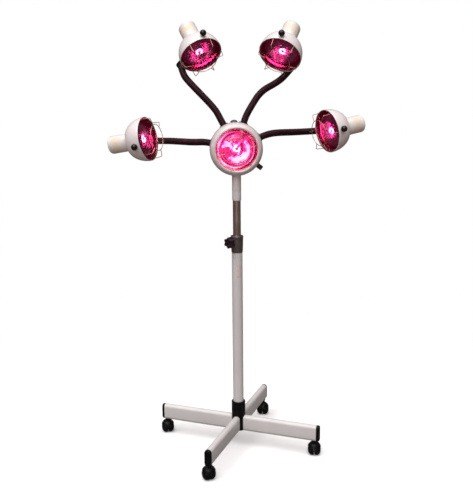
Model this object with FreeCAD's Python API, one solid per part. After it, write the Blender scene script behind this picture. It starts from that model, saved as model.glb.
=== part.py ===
"""Five-head infrared heat lamp on a telescopic mast with a four-legged caster base.

Millimetres, +Z up.  The origin is the mast's axis at floor level, the central lamp faces -Y
and +X is to the right of someone standing in front of it.
"""
import FreeCAD, Part
import math
import os
from FreeCAD import Vector as V

# ---- base -------------------------------------------------------------------------------
LEG_YAW = 69.8                 # direction of the rear leg, the others follow at 90 degrees
LEG_LOW, LEG_TALL, LEG_WIDE, LEG_WALL = 57.0, 60.0, 25.0, 1.5
LEG_END, CAP_THICK = 297.0, 11.0
HUB_R, HUB_LOW, HUB_TOP = 25.0, 60.0, 172.0
CASTER_RING = 289.0            # radius of the circle through the four caster stems
TREAD_R, WEB = 21.0, 4.0
CASTER_HOOD_R, HOOD_Z, HOOD_SKIRT = 24.6, 26.0, 33.0  # round hood: radius, centre height, lower edge
CASTER_TRAIL = 9.0
STEM_R, AXLE_R, AXLE_END = 5.5, 3.0, 18.0
CASTER_YAW = {"left": 102.0, "front": 112.0, "right": 84.0, "rear": 262.0}

# ---- mast -------------------------------------------------------------------------------
TUBE_R, TUBE_WALL, TUBE_TOP = 19.0, 1.5, 758.0
COLLAR_LOW, COLLAR_TOP = 731.0, 791.0
CHROME_R, CHROME_LOW, CHROME_TOP = 14.0, 420.0, 1012.0
SLEEVE_R, SLEEVE_LOW, SLEEVE_TOP = 15.8, 916.0, 948.7
CLAMP_Z, CLAMP_YAW = 771.0, 228.0

# ---- central lamp -----------------------------------------------------------------------
DOME_Z, DOME_R, DOME_BACK = 1093.0, 91.5, 104.0
DOME_YAW = 3.0                 # the central lamp looks a little to its left
SPLIT, SPLIT_R = 17.0, 90.5     # the bezel meets the rear shell here: ahead of the centre, and its radius
MOUTH_R = 71.5
SHELL = 2.5
PORT_Y = 30.0                  # the arms leave the rear shell this far behind its centre
PORT_SEAT = 85.0               # the arm nuts sit this far from the lamp's axis
GLAND_DROP, GLAND_BORE = 32.0, 4.2

# ---- lamp heads, in their own frame: rim centre at the origin, +Z out of the back --------
RIM_R, NECK_R, BELL_DEEP, HOOD_WALL = 76.0, 32.0, 70.0, 1.5
COVER_R, COVER_END = 31.0, 145.0
PIVOT_S, PIVOT_OUT = 46.0, 92.0  # arm centre, behind the rim plane and out from the axis
STUD_R = 4.0
WIRE_R, GUARD_OUT, GUARD_RING, GUARD_LEAN = 1.2, 30.0, 45.0, 3.5
BALL_R, BALL_S = 11.3, 15.0

# ---- gooseneck arms -----------------------------------------------------------------------
ARM_R = 12.0
RUN = 0.05                     # radial running clearance

# For each head: its rim centre and facing direction, the azimuth of its pivot about its axis, the
# azimuths of its ball knob and of its guard's first wire from the pivot, the angle of its arm's
# port in the lamp body, and the route points of the arm between the port and the head.
HEADS = {
    "upper_left": dict(
        rim=V(-119, 103, 1409), face=V(0.369, -0.623, -0.689),
        pivot=-68, ball=147, guard=45, port=118.0,
        via=[V(-71, 38, 1227), V(-129, 51, 1287), V(-171, 95, 1328)]),
    "upper_right": dict(
        rim=V(153, 77, 1406), face=V(-0.337, -0.646, -0.685),
        pivot=265, ball=203, guard=4, port=73.0,
        via=[V(51, 41, 1232), V(86, 61, 1285), V(147, 115, 1315)]),
    "side_left": dict(
        rim=V(-303, 20, 1129), face=V(0.929, -0.327, 0.172),
        pivot=184, ball=163, guard=10, port=168.0,
        via=[V(-150, 52, 1113), V(-226, 95, 1115)]),
    "side_right": dict(
        rim=V(320, 83, 1145), face=V(-0.883, -0.442, -0.157),
        pivot=-7, ball=180, guard=7, port=24.0,
        via=[V(136, 50, 1144), V(213, 128, 1140)]),
}


def polar(radius, degrees, z=0.0):
    """A point at a radius and an angle about the Z axis."""
    a = math.radians(degrees)
    return V(radius * math.cos(a), radius * math.sin(a), z)


def rod(radius, start, end):
    """A solid cylinder from one point to another."""
    return Part.makeCylinder(radius, (end - start).Length, start, end - start)


def ring(outer, inner, start, end):
    """A plain tube from one point to another."""
    way = (end - start).normalize()
    return rod(outer, start, end).cut(rod(inner, start - way, end + way))


def outline(*pieces):
    """A closed wire from point lists; a list of three or more points is a smooth curve."""
    edges, last, first = [], None, None
    for piece in pieces:
        if last is not None and (piece[0] - last).Length > 1e-6:
            edges.append(Part.LineSegment(last, piece[0]).toShape())
        if len(piece) > 2:
            curve = Part.BSplineCurve()
            curve.interpolate(piece)
            edges.append(curve.toShape())
        elif len(piece) == 2:
            edges.append(Part.LineSegment(piece[0], piece[1]).toShape())
        last = piece[-1]
        first = first or piece[0]
    edges.append(Part.LineSegment(last, first).toShape())
    return Part.Wire(edges)


def turned(*pieces):
    """Turn a closed outline of (radius, height) points about the Z axis into a solid."""
    runs = [[V(r, 0, z) for r, z in piece] for piece in pieces]
    return Part.Face(outline(*runs)).revolve(V(0, 0, 0), V(0, 0, 1), 360)


def frame_at(origin, x_way, z_way):
    """The placement whose +Z is z_way and whose +X is x_way, squared up."""
    z = V(z_way).normalize()
    x = (x_way - z * x_way.dot(z)).normalize()
    y = z.cross(x)
    return FreeCAD.Matrix(x.x, y.x, z.x, origin.x, x.y, y.y, z.y, origin.y,
                          x.z, y.z, z.z, origin.z, 0, 0, 0, 1)


def route_wire(points):
    """Straight runs joined by tangent arcs, each as large as its two runs allow."""
    edges, here = [], points[0]
    for before, corner, after in zip(points, points[1:], points[2:]):
        a, b = before - corner, after - corner
        trim = 0.45 * min(a.Length, b.Length)
        ua, ub = V(a).normalize(), V(b).normalize()
        turn = math.pi - ua.getAngle(ub)
        radius = trim / math.tan(turn / 2)
        start, end = corner + ua * trim, corner + ub * trim
        inward = (ua + ub).normalize()
        middle = corner + inward * (radius / math.cos(turn / 2) - radius)
        edges.append(Part.LineSegment(here, start).toShape())
        edges.append(Part.Arc(start, middle, end).toShape())
        here = end
        print("arm arc radius", round(radius))
    edges.append(Part.LineSegment(here, points[-1]).toShape())
    return Part.Wire(edges)


def tube_along(points, radius):
    """A solid round bar along a route."""
    path = route_wire(points)
    circle = Part.Wire([Part.Circle(points[0], points[1] - points[0], radius).toShape()])
    solid = path.makePipeShell([circle], True, True)
    print("route volume / section x length", round(solid.Volume / (math.pi * radius ** 2 * path.Length), 3))
    return solid


NODES = {}


def add(name, *solids):
    """Keep a sub-part: one solid, or a group of like solids that do not touch."""
    NODES[name] = solids[0] if len(solids) == 1 else Part.makeCompound(list(solids))


# ---- base: hub, legs, end caps ---------------------------------------------------------------
def flat_oval(wide, tall, length):
    """A bar along +X whose section has straight sides and full-round top and bottom."""
    r, half = wide / 2, tall / 2 - wide / 2
    edges = [Part.LineSegment(V(0, -r, -half), V(0, -r, half)).toShape(),
             Part.Arc(V(0, -r, half), V(0, 0, half + r), V(0, r, half)).toShape(),
             Part.LineSegment(V(0, r, half), V(0, r, -half)).toShape(),
             Part.Arc(V(0, r, -half), V(0, 0, -half - r), V(0, -r, -half)).toShape()]
    return Part.Face(Part.Wire(edges)).extrude(V(length, 0, 0))


def base():
    mid = LEG_LOW + LEG_TALL / 2
    legs, caps = [], []
    hub_space = Part.makeCylinder(HUB_R, 200)
    for quarter in range(4):
        leg = flat_oval(LEG_WIDE, LEG_TALL, LEG_END)
        core = flat_oval(LEG_WIDE - 2 * LEG_WALL, LEG_TALL - 2 * LEG_WALL, LEG_END + 2)
        leg = leg.cut(core.translated(V(-1, 0, 0))).translated(V(0, 0, mid)).cut(hub_space)
        leg = leg.cut(rod(STEM_R + RUN, V(CASTER_RING, 0, 40), V(CASTER_RING, 0, 70)))
        cap = flat_oval(LEG_WIDE, LEG_TALL, CAP_THICK)
        cap = cap.makeFillet(5, [e for e in cap.Edges if e.CenterOfMass.x > CAP_THICK - 0.1])
        cap = cap.translated(V(LEG_END, 0, mid))
        turn = (V(0, 0, 0), V(0, 0, 1), LEG_YAW + 90 * quarter)
        legs.append(leg.rotated(*turn))
        caps.append(cap.rotated(*turn))
    add("legs", *legs)
    add("leg_end_caps", *caps)
    rim = 3.0
    add("base_hub", turned([(0, HUB_LOW), (HUB_R - rim, HUB_LOW)], [(HUB_R, HUB_LOW + rim)],
                           [(HUB_R, HUB_TOP - rim), (HUB_R - rim / 3, HUB_TOP - rim / 3), (HUB_R - rim, HUB_TOP)],
                           [(TUBE_R, HUB_TOP), (TUBE_R, HUB_LOW + 10)], [(0, HUB_LOW + 10)]))


def caster(name, leg_yaw):
    """A ball caster: a round hood with its web, axle and stem, and two domed wheels that turn under it."""
    middle = V(CASTER_TRAIL, 0, HOOD_Z)
    axle = V(CASTER_TRAIL, 0, TREAD_R)
    hood = Part.makeSphere(CASTER_HOOD_R, middle).cut(Part.makeSphere(CASTER_HOOD_R - 1.4, middle))
    hood = hood.cut(Part.makeBox(80, 80, 40, V(-30, -40, HOOD_SKIRT - 40)))
    inside = Part.makeSphere(CASTER_HOOD_R - 0.7, middle)
    web = inside.common(Part.makeBox(80, WEB, 40, V(-30, -WEB / 2, TREAD_R)))
    disc = rod(13, axle - V(0, WEB / 2, 0), axle + V(0, WEB / 2, 0))
    neck = rod(7.5, V(0, 0, 40), V(0, 0, LEG_LOW - 2.5)).cut(inside)
    flange = rod(9.5, V(0, 0, LEG_LOW - 2.7), V(0, 0, LEG_LOW - 0.4))
    fork = hood.fuse([web, disc, neck, flange, rod(STEM_R, V(0, 0, LEG_LOW - 3), V(0, 0, 88))])
    fork = fork.fuse(rod(AXLE_R, axle - V(0, AXLE_END, 0), axle + V(0, AXLE_END, 0)))
    wheels = []
    for side in (-1, 1):
        inner = WEB / 2 + 0.4
        wheel = turned([(AXLE_R + RUN, inner), (TREAD_R - 1, inner)], [(TREAD_R, inner + 1)],
                       [(TREAD_R, 9.5), (20.1, 13.4), (17.3, 17.5), (13.2, 20.7), (9, 22.5), (5, 23.2), (2, 23.3)],
                       [(0, 23.3), (0, AXLE_END + 0.4)],
                       [(AXLE_R + RUN, AXLE_END + 0.4)])
        wheel = wheel.rotated(V(0, 0, 0), V(1, 0, 0), -90 * side)
        wheels.append(wheel.translated(axle))
    spot = polar(CASTER_RING, leg_yaw)
    for label, solids in (("caster_fork_", [fork]), ("caster_wheels_", wheels)):
        solids = [s.rotated(V(0, 0, 0), V(0, 0, 1), CASTER_YAW[name]).translated(spot) for s in solids]
        add(label + name, *solids)


# ---- mast: lower tube, bush, clamp, chrome tube, sleeve ----------------------------------------
def mast():
    add("lower_tube", ring(TUBE_R, TUBE_R - TUBE_WALL, V(0, 0, HUB_LOW + 10), V(0, 0, TUBE_TOP)))
    bush_r = TUBE_R - TUBE_WALL
    add("mast_bush", turned([(CHROME_R + RUN, TUBE_TOP - 60), (bush_r, TUBE_TOP - 60)],
                            [(bush_r, TUBE_TOP), (TUBE_R, TUBE_TOP)],
                            [(TUBE_R, TUBE_TOP + 2), (CHROME_R + RUN, TUBE_TOP + 2)]))
    lip = 22.3
    collar = turned([(TUBE_R, COLLAR_LOW), (TUBE_R + 0.6, COLLAR_LOW)], [(20.6, COLLAR_LOW + 8), (21.6, COLLAR_TOP - 9)],
                    [(lip, COLLAR_TOP - 6), (lip, COLLAR_TOP - 1.5)], [(lip - 1.5, COLLAR_TOP), (CHROME_R + 2.5, COLLAR_TOP)],
                    [(CHROME_R + 0.4, COLLAR_TOP - 3), (CHROME_R + 0.4, TUBE_TOP + 2)], [(TUBE_R, TUBE_TOP + 2)])
    way = polar(1, CLAMP_YAW)
    at = V(0, 0, CLAMP_Z)
    boss = rod(8.5, at + way * 18, at + way * 27).cut(rod(CHROME_R + 0.4, V(0, 0, COLLAR_LOW), V(0, 0, COLLAR_TOP)))
    bore = rod(STUD_R + RUN, at + way * 5, at + way * 30)
    add("clamp_collar", collar.fuse(boss).cut(bore))
    add("clamp_screw", rod(STUD_R, at + way * (CHROME_R + 0.4), at + way * 45))
    core, lobe = 15.0, 5.6
    knob = rod(core, V(0, 0, 30), V(0, 0, 49))
    knob = knob.fuse([rod(lobe, polar(core - 0.6, 60 * k, 30), polar(core - 0.6, 60 * k, 49)) for k in range(6)])
    knob = knob.removeSplitter()
    knob = knob.makeFillet(1.5, [e for e in knob.Edges if abs(e.CenterOfMass.z - 49) < 0.1])
    knob = knob.cut(rod(STUD_R, V(0, 0, 20), V(0, 0, 45)))
    add("clamp_knob", knob.transformed(frame_at(at, V(0, 0, 1), way)))
    add("mast_tube", ring(CHROME_R, CHROME_R - 1.5, V(0, 0, CHROME_LOW), V(0, 0, CHROME_TOP)))
    add("mast_sleeve", ring(SLEEVE_R, CHROME_R, V(0, 0, SLEEVE_LOW), V(0, 0, SLEEVE_TOP)))


# ---- central lamp ---------------------------------------------------------------------------
def bulb():
    """A reflector infrared lamp with a screw cap; its face is towards -Z and it is hollow."""
    glass = [(0, 8.0), (30, 9.5), (50, 13.5), (60, 20.5), (62, 28.0), (59, 37.0), (51, 47.5),
             (40, 57.0), (29, 65.5), (22.5, 74.0), (19, 84.0), (18.5, 92.0)]
    wall = 1.6
    within = [(0, 9.6), (29.8, 11.1), (49.4, 15.0), (58.6, 21.4), (60.4, 28.0), (57.5, 36.3), (49.9, 46.3),
              (39, 55.7), (27.8, 64.3), (21, 73.2), (17.4, 83.6), (18.5 - wall, 92.0)]
    return turned(glass, [(18.5, 101), (13.2, 104)], [(13.2, 130), (0, 130)]).cut(
        turned(within, [(18.5 - wall, 100), (0, 100)]))


def lampholder(back):
    """The porcelain socket that the cap screws into."""
    return turned([(13.6, 106), (20, 106)], [(21.5, 108), (21.5, back)], [(0, back)], [(0, 130), (13.6, 130)])


def guard(radius, seat, turn):
    """Six bent wires from a hoop inside the rim, forward and in to a ring."""
    parts = [Part.makeTorus(radius, WIRE_R, V(0, 0, seat)), Part.makeTorus(GUARD_RING, WIRE_R, V(0, 0, -GUARD_OUT - 4))]
    for k in range(6):
        foot, apex = polar(radius, 60 * k + turn, seat), polar(radius - GUARD_LEAN, 60 * k + turn, -GUARD_OUT)
        tip = polar(GUARD_RING, 60 * k + turn, -GUARD_OUT - 4)
        parts += [rod(WIRE_R, foot, apex), rod(WIRE_R, apex, tip), Part.makeSphere(WIRE_R, apex)]
    return parts[0].fuse(parts[1:])


def central_lamp():
    yaw = math.radians(DOME_YAW)
    back_way = V(-math.sin(yaw), math.cos(yaw), 0)
    centre = V(0, 0, DOME_Z)
    # in the lamp's own frame +Z points out of the back, so it matches the heads' frame
    put = frame_at(centre, V(math.cos(yaw), math.sin(yaw), 0), back_way)
    skin = [(SPLIT_R, -SPLIT), (DOME_R, 0), (90.4, 20), (86.5, 42), (79.5, 63), (67.5, 84), (48, DOME_BACK)]
    lining = [(47, DOME_BACK - SHELL), (65.5, 82.3), (77.1, 61.9), (84.1, 41.2), (87.9, 19.6), (DOME_R - SHELL, 0),
              (SPLIT_R - SHELL, -SPLIT)]
    rear = turned(skin, [(0, DOME_BACK), (0, DOME_BACK - SHELL)], lining)
    neck = rod(SLEEVE_R, V(0, 0, SLEEVE_TOP + 0.3), V(0, 0, 1014))
    rear = rear.transformed(put)
    ports = [polar(1, h["port"]) for h in HEADS.values()]
    ports = [V(p.x, 0, p.y) for p in ports]
    seat_at = centre + V(0, PORT_Y, 0)
    bosses = [rod(19, seat_at + p * (PORT_SEAT - 12), seat_at + p * PORT_SEAT) for p in ports]
    rear = rear.cut([rod(20.5, seat_at + p * PORT_SEAT, seat_at + p * 120) for p in ports])
    rear = rear.fuse(bosses + [neck])
    rear = rear.cut([rod(ARM_R + 0.05, seat_at + p * 55, seat_at + p * 120) for p in ports])
    rear = rear.cut(rod(CHROME_R + RUN, V(0, 0, 930), V(0, 0, 1030)))
    knob_way = V(math.cos(math.radians(-38)), 0, math.sin(math.radians(-38)))
    knob_at = centre + V(0, 12, 0)
    rear = rear.cut(rod(3.05, knob_at + knob_way * 70, knob_at + knob_way * 100))
    gland_at = V(0, GLAND_DROP, DOME_BACK)
    rear = rear.cut(rod(7.5, gland_at - V(0, 0, 12), gland_at + V(0, 0, 12)).transformed(put))
    plug_way = V(math.cos(math.radians(94.5)), 0, math.sin(math.radians(94.5)))
    plug_at = centre + V(0, 8, 0)
    rear = rear.cut(rod(8.05, plug_at + plug_way * 80, plug_at + plug_way * 100))
    add("dome_rear", rear)
    add("power_knob", rod(8.5, knob_at + knob_way * 92.6, knob_at + knob_way * 112)
        .fuse(rod(3.0, knob_at + knob_way * 76, knob_at + knob_way * 93)))
    plug = rod(8.0, plug_at + plug_way * 82, plug_at + plug_way * 92)
    cap = Part.makeSphere(16, plug_at + plug_way * 83.5)
    cap = cap.common(rod(13, plug_at + plug_way * 92.2, plug_at + plug_way * 105))
    add("port_plug", plug.fuse([cap, rod(8.0, plug_at + plug_way * 90, plug_at + plug_way * 94)]))
    gland = ring(7.5, GLAND_BORE, gland_at - V(0, 0, 10), gland_at)
    gland = gland.fuse(ring(11, GLAND_BORE, gland_at, gland_at + V(0, 0, 16)))
    add("cord_gland", gland.transformed(put))
    add("arm_nuts", *[ring(17, ARM_R + 0.1, seat_at + p * PORT_SEAT, seat_at + p * (PORT_SEAT + 7)) for p in ports])
    bezel = turned([(SPLIT_R, -SPLIT), (89, -23), (86, -30), (80.5, -37.5), (75.5, -40)],
                   [(MOUTH_R + 1, -39)], [(MOUTH_R, -37.5), (MOUTH_R, -33)], [(85, -25), (SPLIT_R - SHELL, -SPLIT)])
    add("dome_bezel", bezel.transformed(put))
    mouth = V(0, 0, -34)       # the central bulb's rim plane
    reflector = turned([(MOUTH_R - 0.3, -32), (66, 0), (54, 24), (40, 40)], [(25, 50), (25, 51.5)],
                       [(41, 41.5), (55.4, 25), (67.4, 0.5), (MOUTH_R + 1.2, -32)])
    add("dome_reflector", reflector.transformed(put))
    add("dome_bulb", bulb().translated(mouth).transformed(put))
    add("dome_lampholder", lampholder(DOME_BACK - SHELL - mouth.z).translated(mouth).transformed(put))
    add("dome_guard", guard(MOUTH_R - 1.8, 2, 46).translated(V(0, 0, mouth.z)).transformed(put))


# ---- heads and arms ---------------------------------------------------------------------------
def bell(radius, neck, depth, start):
    """Quarter-ellipse profile from the rim to the neck, from a start depth inwards."""
    first = math.asin(start / depth)
    turns = [first + (math.pi / 2 - first) * k / 8 for k in range(9)]
    return [(neck + (radius - neck) * math.cos(a), depth * math.sin(a)) for a in turns]


def arm_route(info):
    """Where a head sits and how its arm runs, from the lamp body to the swivel behind the hood."""
    z_way = info["face"] * -1
    level = V(0, 0, 1).cross(z_way).normalize()
    azimuth = math.radians(info["pivot"])
    pivot_way = level * math.cos(azimuth) + z_way.cross(level) * math.sin(azimuth)
    put = frame_at(info["rim"], pivot_way, z_way)
    pivot = put.multVec(V(PIVOT_OUT, 0, PIVOT_S))
    out = polar(1, info["port"])
    out = V(out.x, 0, out.y)
    root = V(0, PORT_Y, DOME_Z)
    arrive = pivot - info["via"][-1]
    arrive = (arrive - pivot_way * arrive.dot(pivot_way)).normalize()
    points = [root + out * 72, root + out * 112] + info["via"] + [pivot - arrive * 52, pivot]
    bend = (points[2] + points[3]) * 0.5
    along = (points[3] - points[2]).normalize()
    return dict(put=put, pivot=pivot, pivot_way=pivot_way, points=points, bend=bend, along=along)


def head(name, info):
    """One lamp head and its arm; returns the fixed lower part of the arm."""
    route = arm_route(info)
    put, points, bend = route["put"], route["points"], route["bend"]
    outer = bell(RIM_R, NECK_R, BELL_DEEP, 0)
    inner = bell(RIM_R - HOOD_WALL, NECK_R - 3.5, BELL_DEEP - HOOD_WALL, 0)
    hood = turned(outer, [(28.8, BELL_DEEP), (28.8, 82)], [(27, 82)], inner[::-1])
    pad = rod(11, V(60, 0, PIVOT_S), V(78, 0, PIVOT_S))
    pad = pad.cut(turned(bell(RIM_R - 1, NECK_R - 1, BELL_DEEP - 1, 0), [(0, BELL_DEEP - 1), (0, 0)]))
    stud = rod(STUD_R, V(76, 0, PIVOT_S), V(PIVOT_OUT + 9, 0, PIVOT_S))
    add("hood_" + name, hood.fuse([pad, stud]).transformed(put))
    cover = turned([(29.4, BELL_DEEP), (COVER_R, BELL_DEEP)],
                   [(COVER_R, COVER_END - 7), (COVER_R - 2, COVER_END - 2), (COVER_R - 7, COVER_END)],
                   [(0, COVER_END), (0, COVER_END - 2)],
                   [(COVER_R - 8, COVER_END - 2), (COVER_R - 3.3, COVER_END - 3.4), (29.4, COVER_END - 8)])
    add("socket_cover_" + name, cover.transformed(put))
    add("bulb_" + name, bulb().transformed(put))
    add("lampholder_" + name, lampholder(COVER_END - 2).transformed(put))
    add("guard_" + name, guard(RIM_R - HOOD_WALL - WIRE_R - 0.1, 4, info["guard"]).transformed(put))
    way = polar(1, info["ball"])
    seat = V(0, 0, BALL_S)
    ball = Part.makeSphere(BALL_R, seat + way * 87).fuse(rod(4, seat + way * 75.6, seat + way * 82))
    add("ball_knob_" + name, ball.transformed(put))

    stub = tube_along(points[:3] + [bend], ARM_R).fuse(Part.makeSphere(ARM_R - 0.3, bend))
    upper = tube_along([bend + route["along"] * 6] + points[3:], ARM_R)
    upper = upper.cut(Part.makeSphere(ARM_R + 0.4, bend))
    knuckle = rod(13, put.multVec(V(78.4, 0, PIVOT_S)), put.multVec(V(PIVOT_OUT + 13, 0, PIVOT_S)))
    upper = upper.fuse(knuckle).cut(rod(STUD_R + RUN, put.multVec(V(70, 0, PIVOT_S)),
                                        put.multVec(V(PIVOT_OUT + 10, 0, PIVOT_S))))
    add("arm_" + name, upper)
    return stub


def main():
    base()
    for quarter, name in enumerate(("rear", "left", "front", "right")):
        caster(name, LEG_YAW + 90 * quarter)
    mast()
    central_lamp()
    add("arm_roots", *[head(name, info) for name, info in HEADS.items()])
    os.makedirs("parts", exist_ok=True)
    for name, shape in NODES.items():
        if not shape.isValid():
            print("INVALID", name)
        print(name, len(shape.Solids), round(shape.Volume / 1000, 1))
        shape.exportStep("parts/" + name + ".step")


if __name__ in ("__main__", "part"):
    main()
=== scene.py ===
import math

import bmesh
import bpy
import numpy as np
from mathutils import Matrix


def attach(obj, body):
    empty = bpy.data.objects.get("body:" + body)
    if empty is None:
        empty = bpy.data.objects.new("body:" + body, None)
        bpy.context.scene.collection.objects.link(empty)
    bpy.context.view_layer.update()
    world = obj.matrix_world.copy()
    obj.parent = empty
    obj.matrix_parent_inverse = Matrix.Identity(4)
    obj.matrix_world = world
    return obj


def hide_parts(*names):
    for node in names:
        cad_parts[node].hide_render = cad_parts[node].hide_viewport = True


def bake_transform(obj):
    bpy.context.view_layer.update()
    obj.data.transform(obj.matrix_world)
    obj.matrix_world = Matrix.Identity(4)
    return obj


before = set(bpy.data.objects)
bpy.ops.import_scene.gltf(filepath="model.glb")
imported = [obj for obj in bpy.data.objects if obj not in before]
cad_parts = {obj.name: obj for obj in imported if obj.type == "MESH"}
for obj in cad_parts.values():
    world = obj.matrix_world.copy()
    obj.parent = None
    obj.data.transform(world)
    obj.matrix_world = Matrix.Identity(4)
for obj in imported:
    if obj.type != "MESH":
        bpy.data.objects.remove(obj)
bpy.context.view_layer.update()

# ---- Camera, floor and light ---------------------------------------------------------------
# A plain studio: a pale floor that fades into a pale background, a wide soft light overhead,
# and one soft panel in front.  The camera stands at chest height and looks slightly down.
camera = bpy.data.objects.new("camera", bpy.data.cameras.new("camera"))
bpy.context.scene.collection.objects.link(camera)
camera.data.lens = 55.92
camera.data.clip_end = 200.0
camera.matrix_world = (Matrix.Translation((-0.0022, -2.675, 1.331))
                       @ Matrix.Rotation(math.radians(77.51), 4, "X")
                       @ Matrix.Rotation(-0.009, 4, "Z"))
bpy.context.scene.camera = camera
bpy.context.scene.view_settings.view_transform = "Standard"


def node(tree, kind, settings=None, **sockets):
    """Add a node to a tree: a (node, output) pair links a socket, anything else sets its value."""
    made = tree.nodes.new(kind)
    for key, value in (settings or {}).items():
        setattr(made, key, value)
    for key, value in sockets.items():
        socket = made.inputs[int(key[1:])] if key[0] == "_" else made.inputs[key.replace("_", " ")]
        if isinstance(value, tuple) and hasattr(value[0], "outputs"):
            tree.links.new(value[0].outputs[value[1]], socket)
        else:
            socket.default_value = value
    return made


def ramp(tree, source, *stops):
    """A colour ramp fed by (node, output), with stops of (position, colour)."""
    made = node(tree, "ShaderNodeValToRGB", Fac=source)
    band = made.color_ramp.elements
    while len(band) < len(stops):
        band.new(0.5)
    for element, (position, colour) in zip(band, stops):
        element.position, element.color = position, (*colour, 1.0)
    return made


floor = bpy.data.objects.new("studio_floor", bpy.data.meshes.new("studio_floor"))
bpy.context.scene.collection.objects.link(floor)
FLOOR_HALF = 4.0
floor.data.from_pydata([(-FLOOR_HALF, -FLOOR_HALF, 0), (FLOOR_HALF, -FLOOR_HALF, 0),
                        (FLOOR_HALF, FLOOR_HALF, 0), (-FLOOR_HALF, FLOOR_HALF, 0)], [], [(0, 1, 2, 3)])
pale = bpy.data.materials.new("studio_floor")
pale.use_nodes = True
tree = pale.node_tree
tree.nodes["Principled BSDF"].inputs["Roughness"].default_value = 0.75
seen = node(tree, "ShaderNodeLightPath")
floor_tone = node(tree, "ShaderNodeMix", {"data_type": "RGBA"}, _0=(seen, "Is Camera Ray"),
                  _6=(0.16, 0.145, 0.14, 1), _7=(1.0, 1.0, 1.0, 1))
tree.links.new(floor_tone.outputs[2], tree.nodes["Principled BSDF"].inputs["Base Color"])
place = node(tree, "ShaderNodeTexCoord")
away = node(tree, "ShaderNodeVectorMath", {"operation": "LENGTH"}, _0=(place, "Object"))
fade = node(tree, "ShaderNodeMapRange", {"interpolation_type": "SMOOTHSTEP"}, Value=(away, "Value"),
            From_Min=0.35, From_Max=1.7)
clear = node(tree, "ShaderNodeBsdfTransparent")
floor_mix = node(tree, "ShaderNodeMixShader", Fac=(fade, "Result"),
                 _1=(tree.nodes["Principled BSDF"], "BSDF"), _2=(clear, "BSDF"))
tree.links.new(floor_mix.outputs[0], tree.nodes["Material Output"].inputs["Surface"])
floor.data.materials.append(pale)

world = bpy.data.worlds.new("studio")
bpy.context.scene.world = world
world.use_nodes = True
tree = world.node_tree
way = node(tree, "ShaderNodeTexCoord")
height = node(tree, "ShaderNodeSeparateXYZ", Vector=(way, "Generated"))
room = ramp(tree, (height, "Z"), (0.0, (0.15, 0.10, 0.09)), (0.3, (0.18, 0.145, 0.14)),
            (1.0, (0.50, 0.49, 0.50)))
tree.nodes["Background"].inputs["Strength"].default_value = 0.9
tree.links.new(room.outputs["Color"], tree.nodes["Background"].inputs["Color"])
paper = node(tree, "ShaderNodeBackground", Color=(1, 1, 1, 1), Strength=1.0)
seen = node(tree, "ShaderNodeLightPath")
world_mix = node(tree, "ShaderNodeMixShader", Fac=(seen, "Is Camera Ray"),
                 _1=(tree.nodes["Background"], "Background"), _2=(paper, "Background"))
tree.links.new(world_mix.outputs[0], tree.nodes["World Output"].inputs["Surface"])


def soft_panel(name, spot, towards, size, power, colour):
    """A square soft light at a spot, turned to face a point."""
    panel = bpy.data.objects.new(name, bpy.data.lights.new(name, "AREA"))
    panel.data.shape, panel.data.size, panel.data.energy = "SQUARE", size, power
    panel.data.color = colour
    aim = np.array(towards, float) - spot
    across = np.cross(aim, (0, 0.02, 1))
    up = np.cross(across, aim)
    axes = np.stack([v / np.linalg.norm(v) for v in (across, up, -aim)], 1)
    panel.matrix_world = Matrix.Translation(spot) @ Matrix(axes.tolist()).to_4x4()
    bpy.context.scene.collection.objects.link(panel)


soft_panel("light_front", (-0.30, -3.3, 1.9), (0, 0, 0.9), 1.1, 22, (1.0, 0.97, 0.965))
OVERHEAD_FORWARD, OVERHEAD_LEFT, OVERHEAD_SPREAD = math.radians(22), math.radians(-9), math.radians(70)
overhead = bpy.data.objects.new("light_above", bpy.data.lights.new("light_above", "SUN"))
overhead.data.energy, overhead.data.angle = 3.2, OVERHEAD_SPREAD
overhead.data.color = (1.0, 0.985, 0.98)
overhead.matrix_world = Matrix.Rotation(OVERHEAD_FORWARD, 4, "X") @ Matrix.Rotation(OVERHEAD_LEFT, 4, "Y")
bpy.context.scene.collection.objects.link(overhead)

# ---- Hub of the base -----------------------------------------------------------------------
# A black moulded socket with a satin, finely grained skin.  The four legs are pushed into its
# sides and the mast stands in its bore.
MM = 0.001
HUB_R, HUB_LOW, HUB_TOP, MAST_R = 25.0, 60.0, 172.0, 19.0


def rounded(corners, steps=6):
    """Outline or route with rounded corners, in metres.

    Each corner is its position followed by a reach q, all in mm.  It becomes a parabola that
    starts q before the corner, ends q after it and has the corner as its control point.
    """
    table = np.array(corners, float)
    spot, reach = table[:, :-1], table[:, -1:]
    back, ahead = np.roll(spot, 1, 0) - spot, np.roll(spot, -1, 0) - spot
    far_back, far_ahead = (np.linalg.norm(v, axis=1, keepdims=True) + 1e-9 for v in (back, ahead))
    begin = spot + back / far_back * np.minimum(reach, 0.48 * far_back)
    end = spot + ahead / far_ahead * np.minimum(reach, 0.48 * far_ahead)
    t = np.linspace(0, 1, steps)[None, :, None]
    bow = (1 - t) ** 2 * begin[:, None] + 2 * t * (1 - t) * spot[:, None] + t ** 2 * end[:, None]
    return bow.reshape(-1, spot.shape[1]) * MM


def turned(outline, sides=96):
    """Surface of revolution: the point (r, z) at the angle a goes to (r cos a, r sin a, z)."""
    a = np.linspace(0, 2 * np.pi, sides, endpoint=False)
    r, z = outline[:, :1], outline[:, 1:2]
    return np.stack([r * np.cos(a), r * np.sin(a), z + 0 * a], -1)


def set_at(points, origin, x_way, z_way):
    """Points moved into the place whose +Z is z_way and whose +X is x_way squared up to it."""
    z = np.array(z_way, float) / np.linalg.norm(z_way)
    x = np.array(x_way, float) - z * np.dot(x_way, z)
    x /= np.linalg.norm(x)
    return np.array(origin, float) + points @ np.array([x, np.cross(z, x), z])


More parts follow.
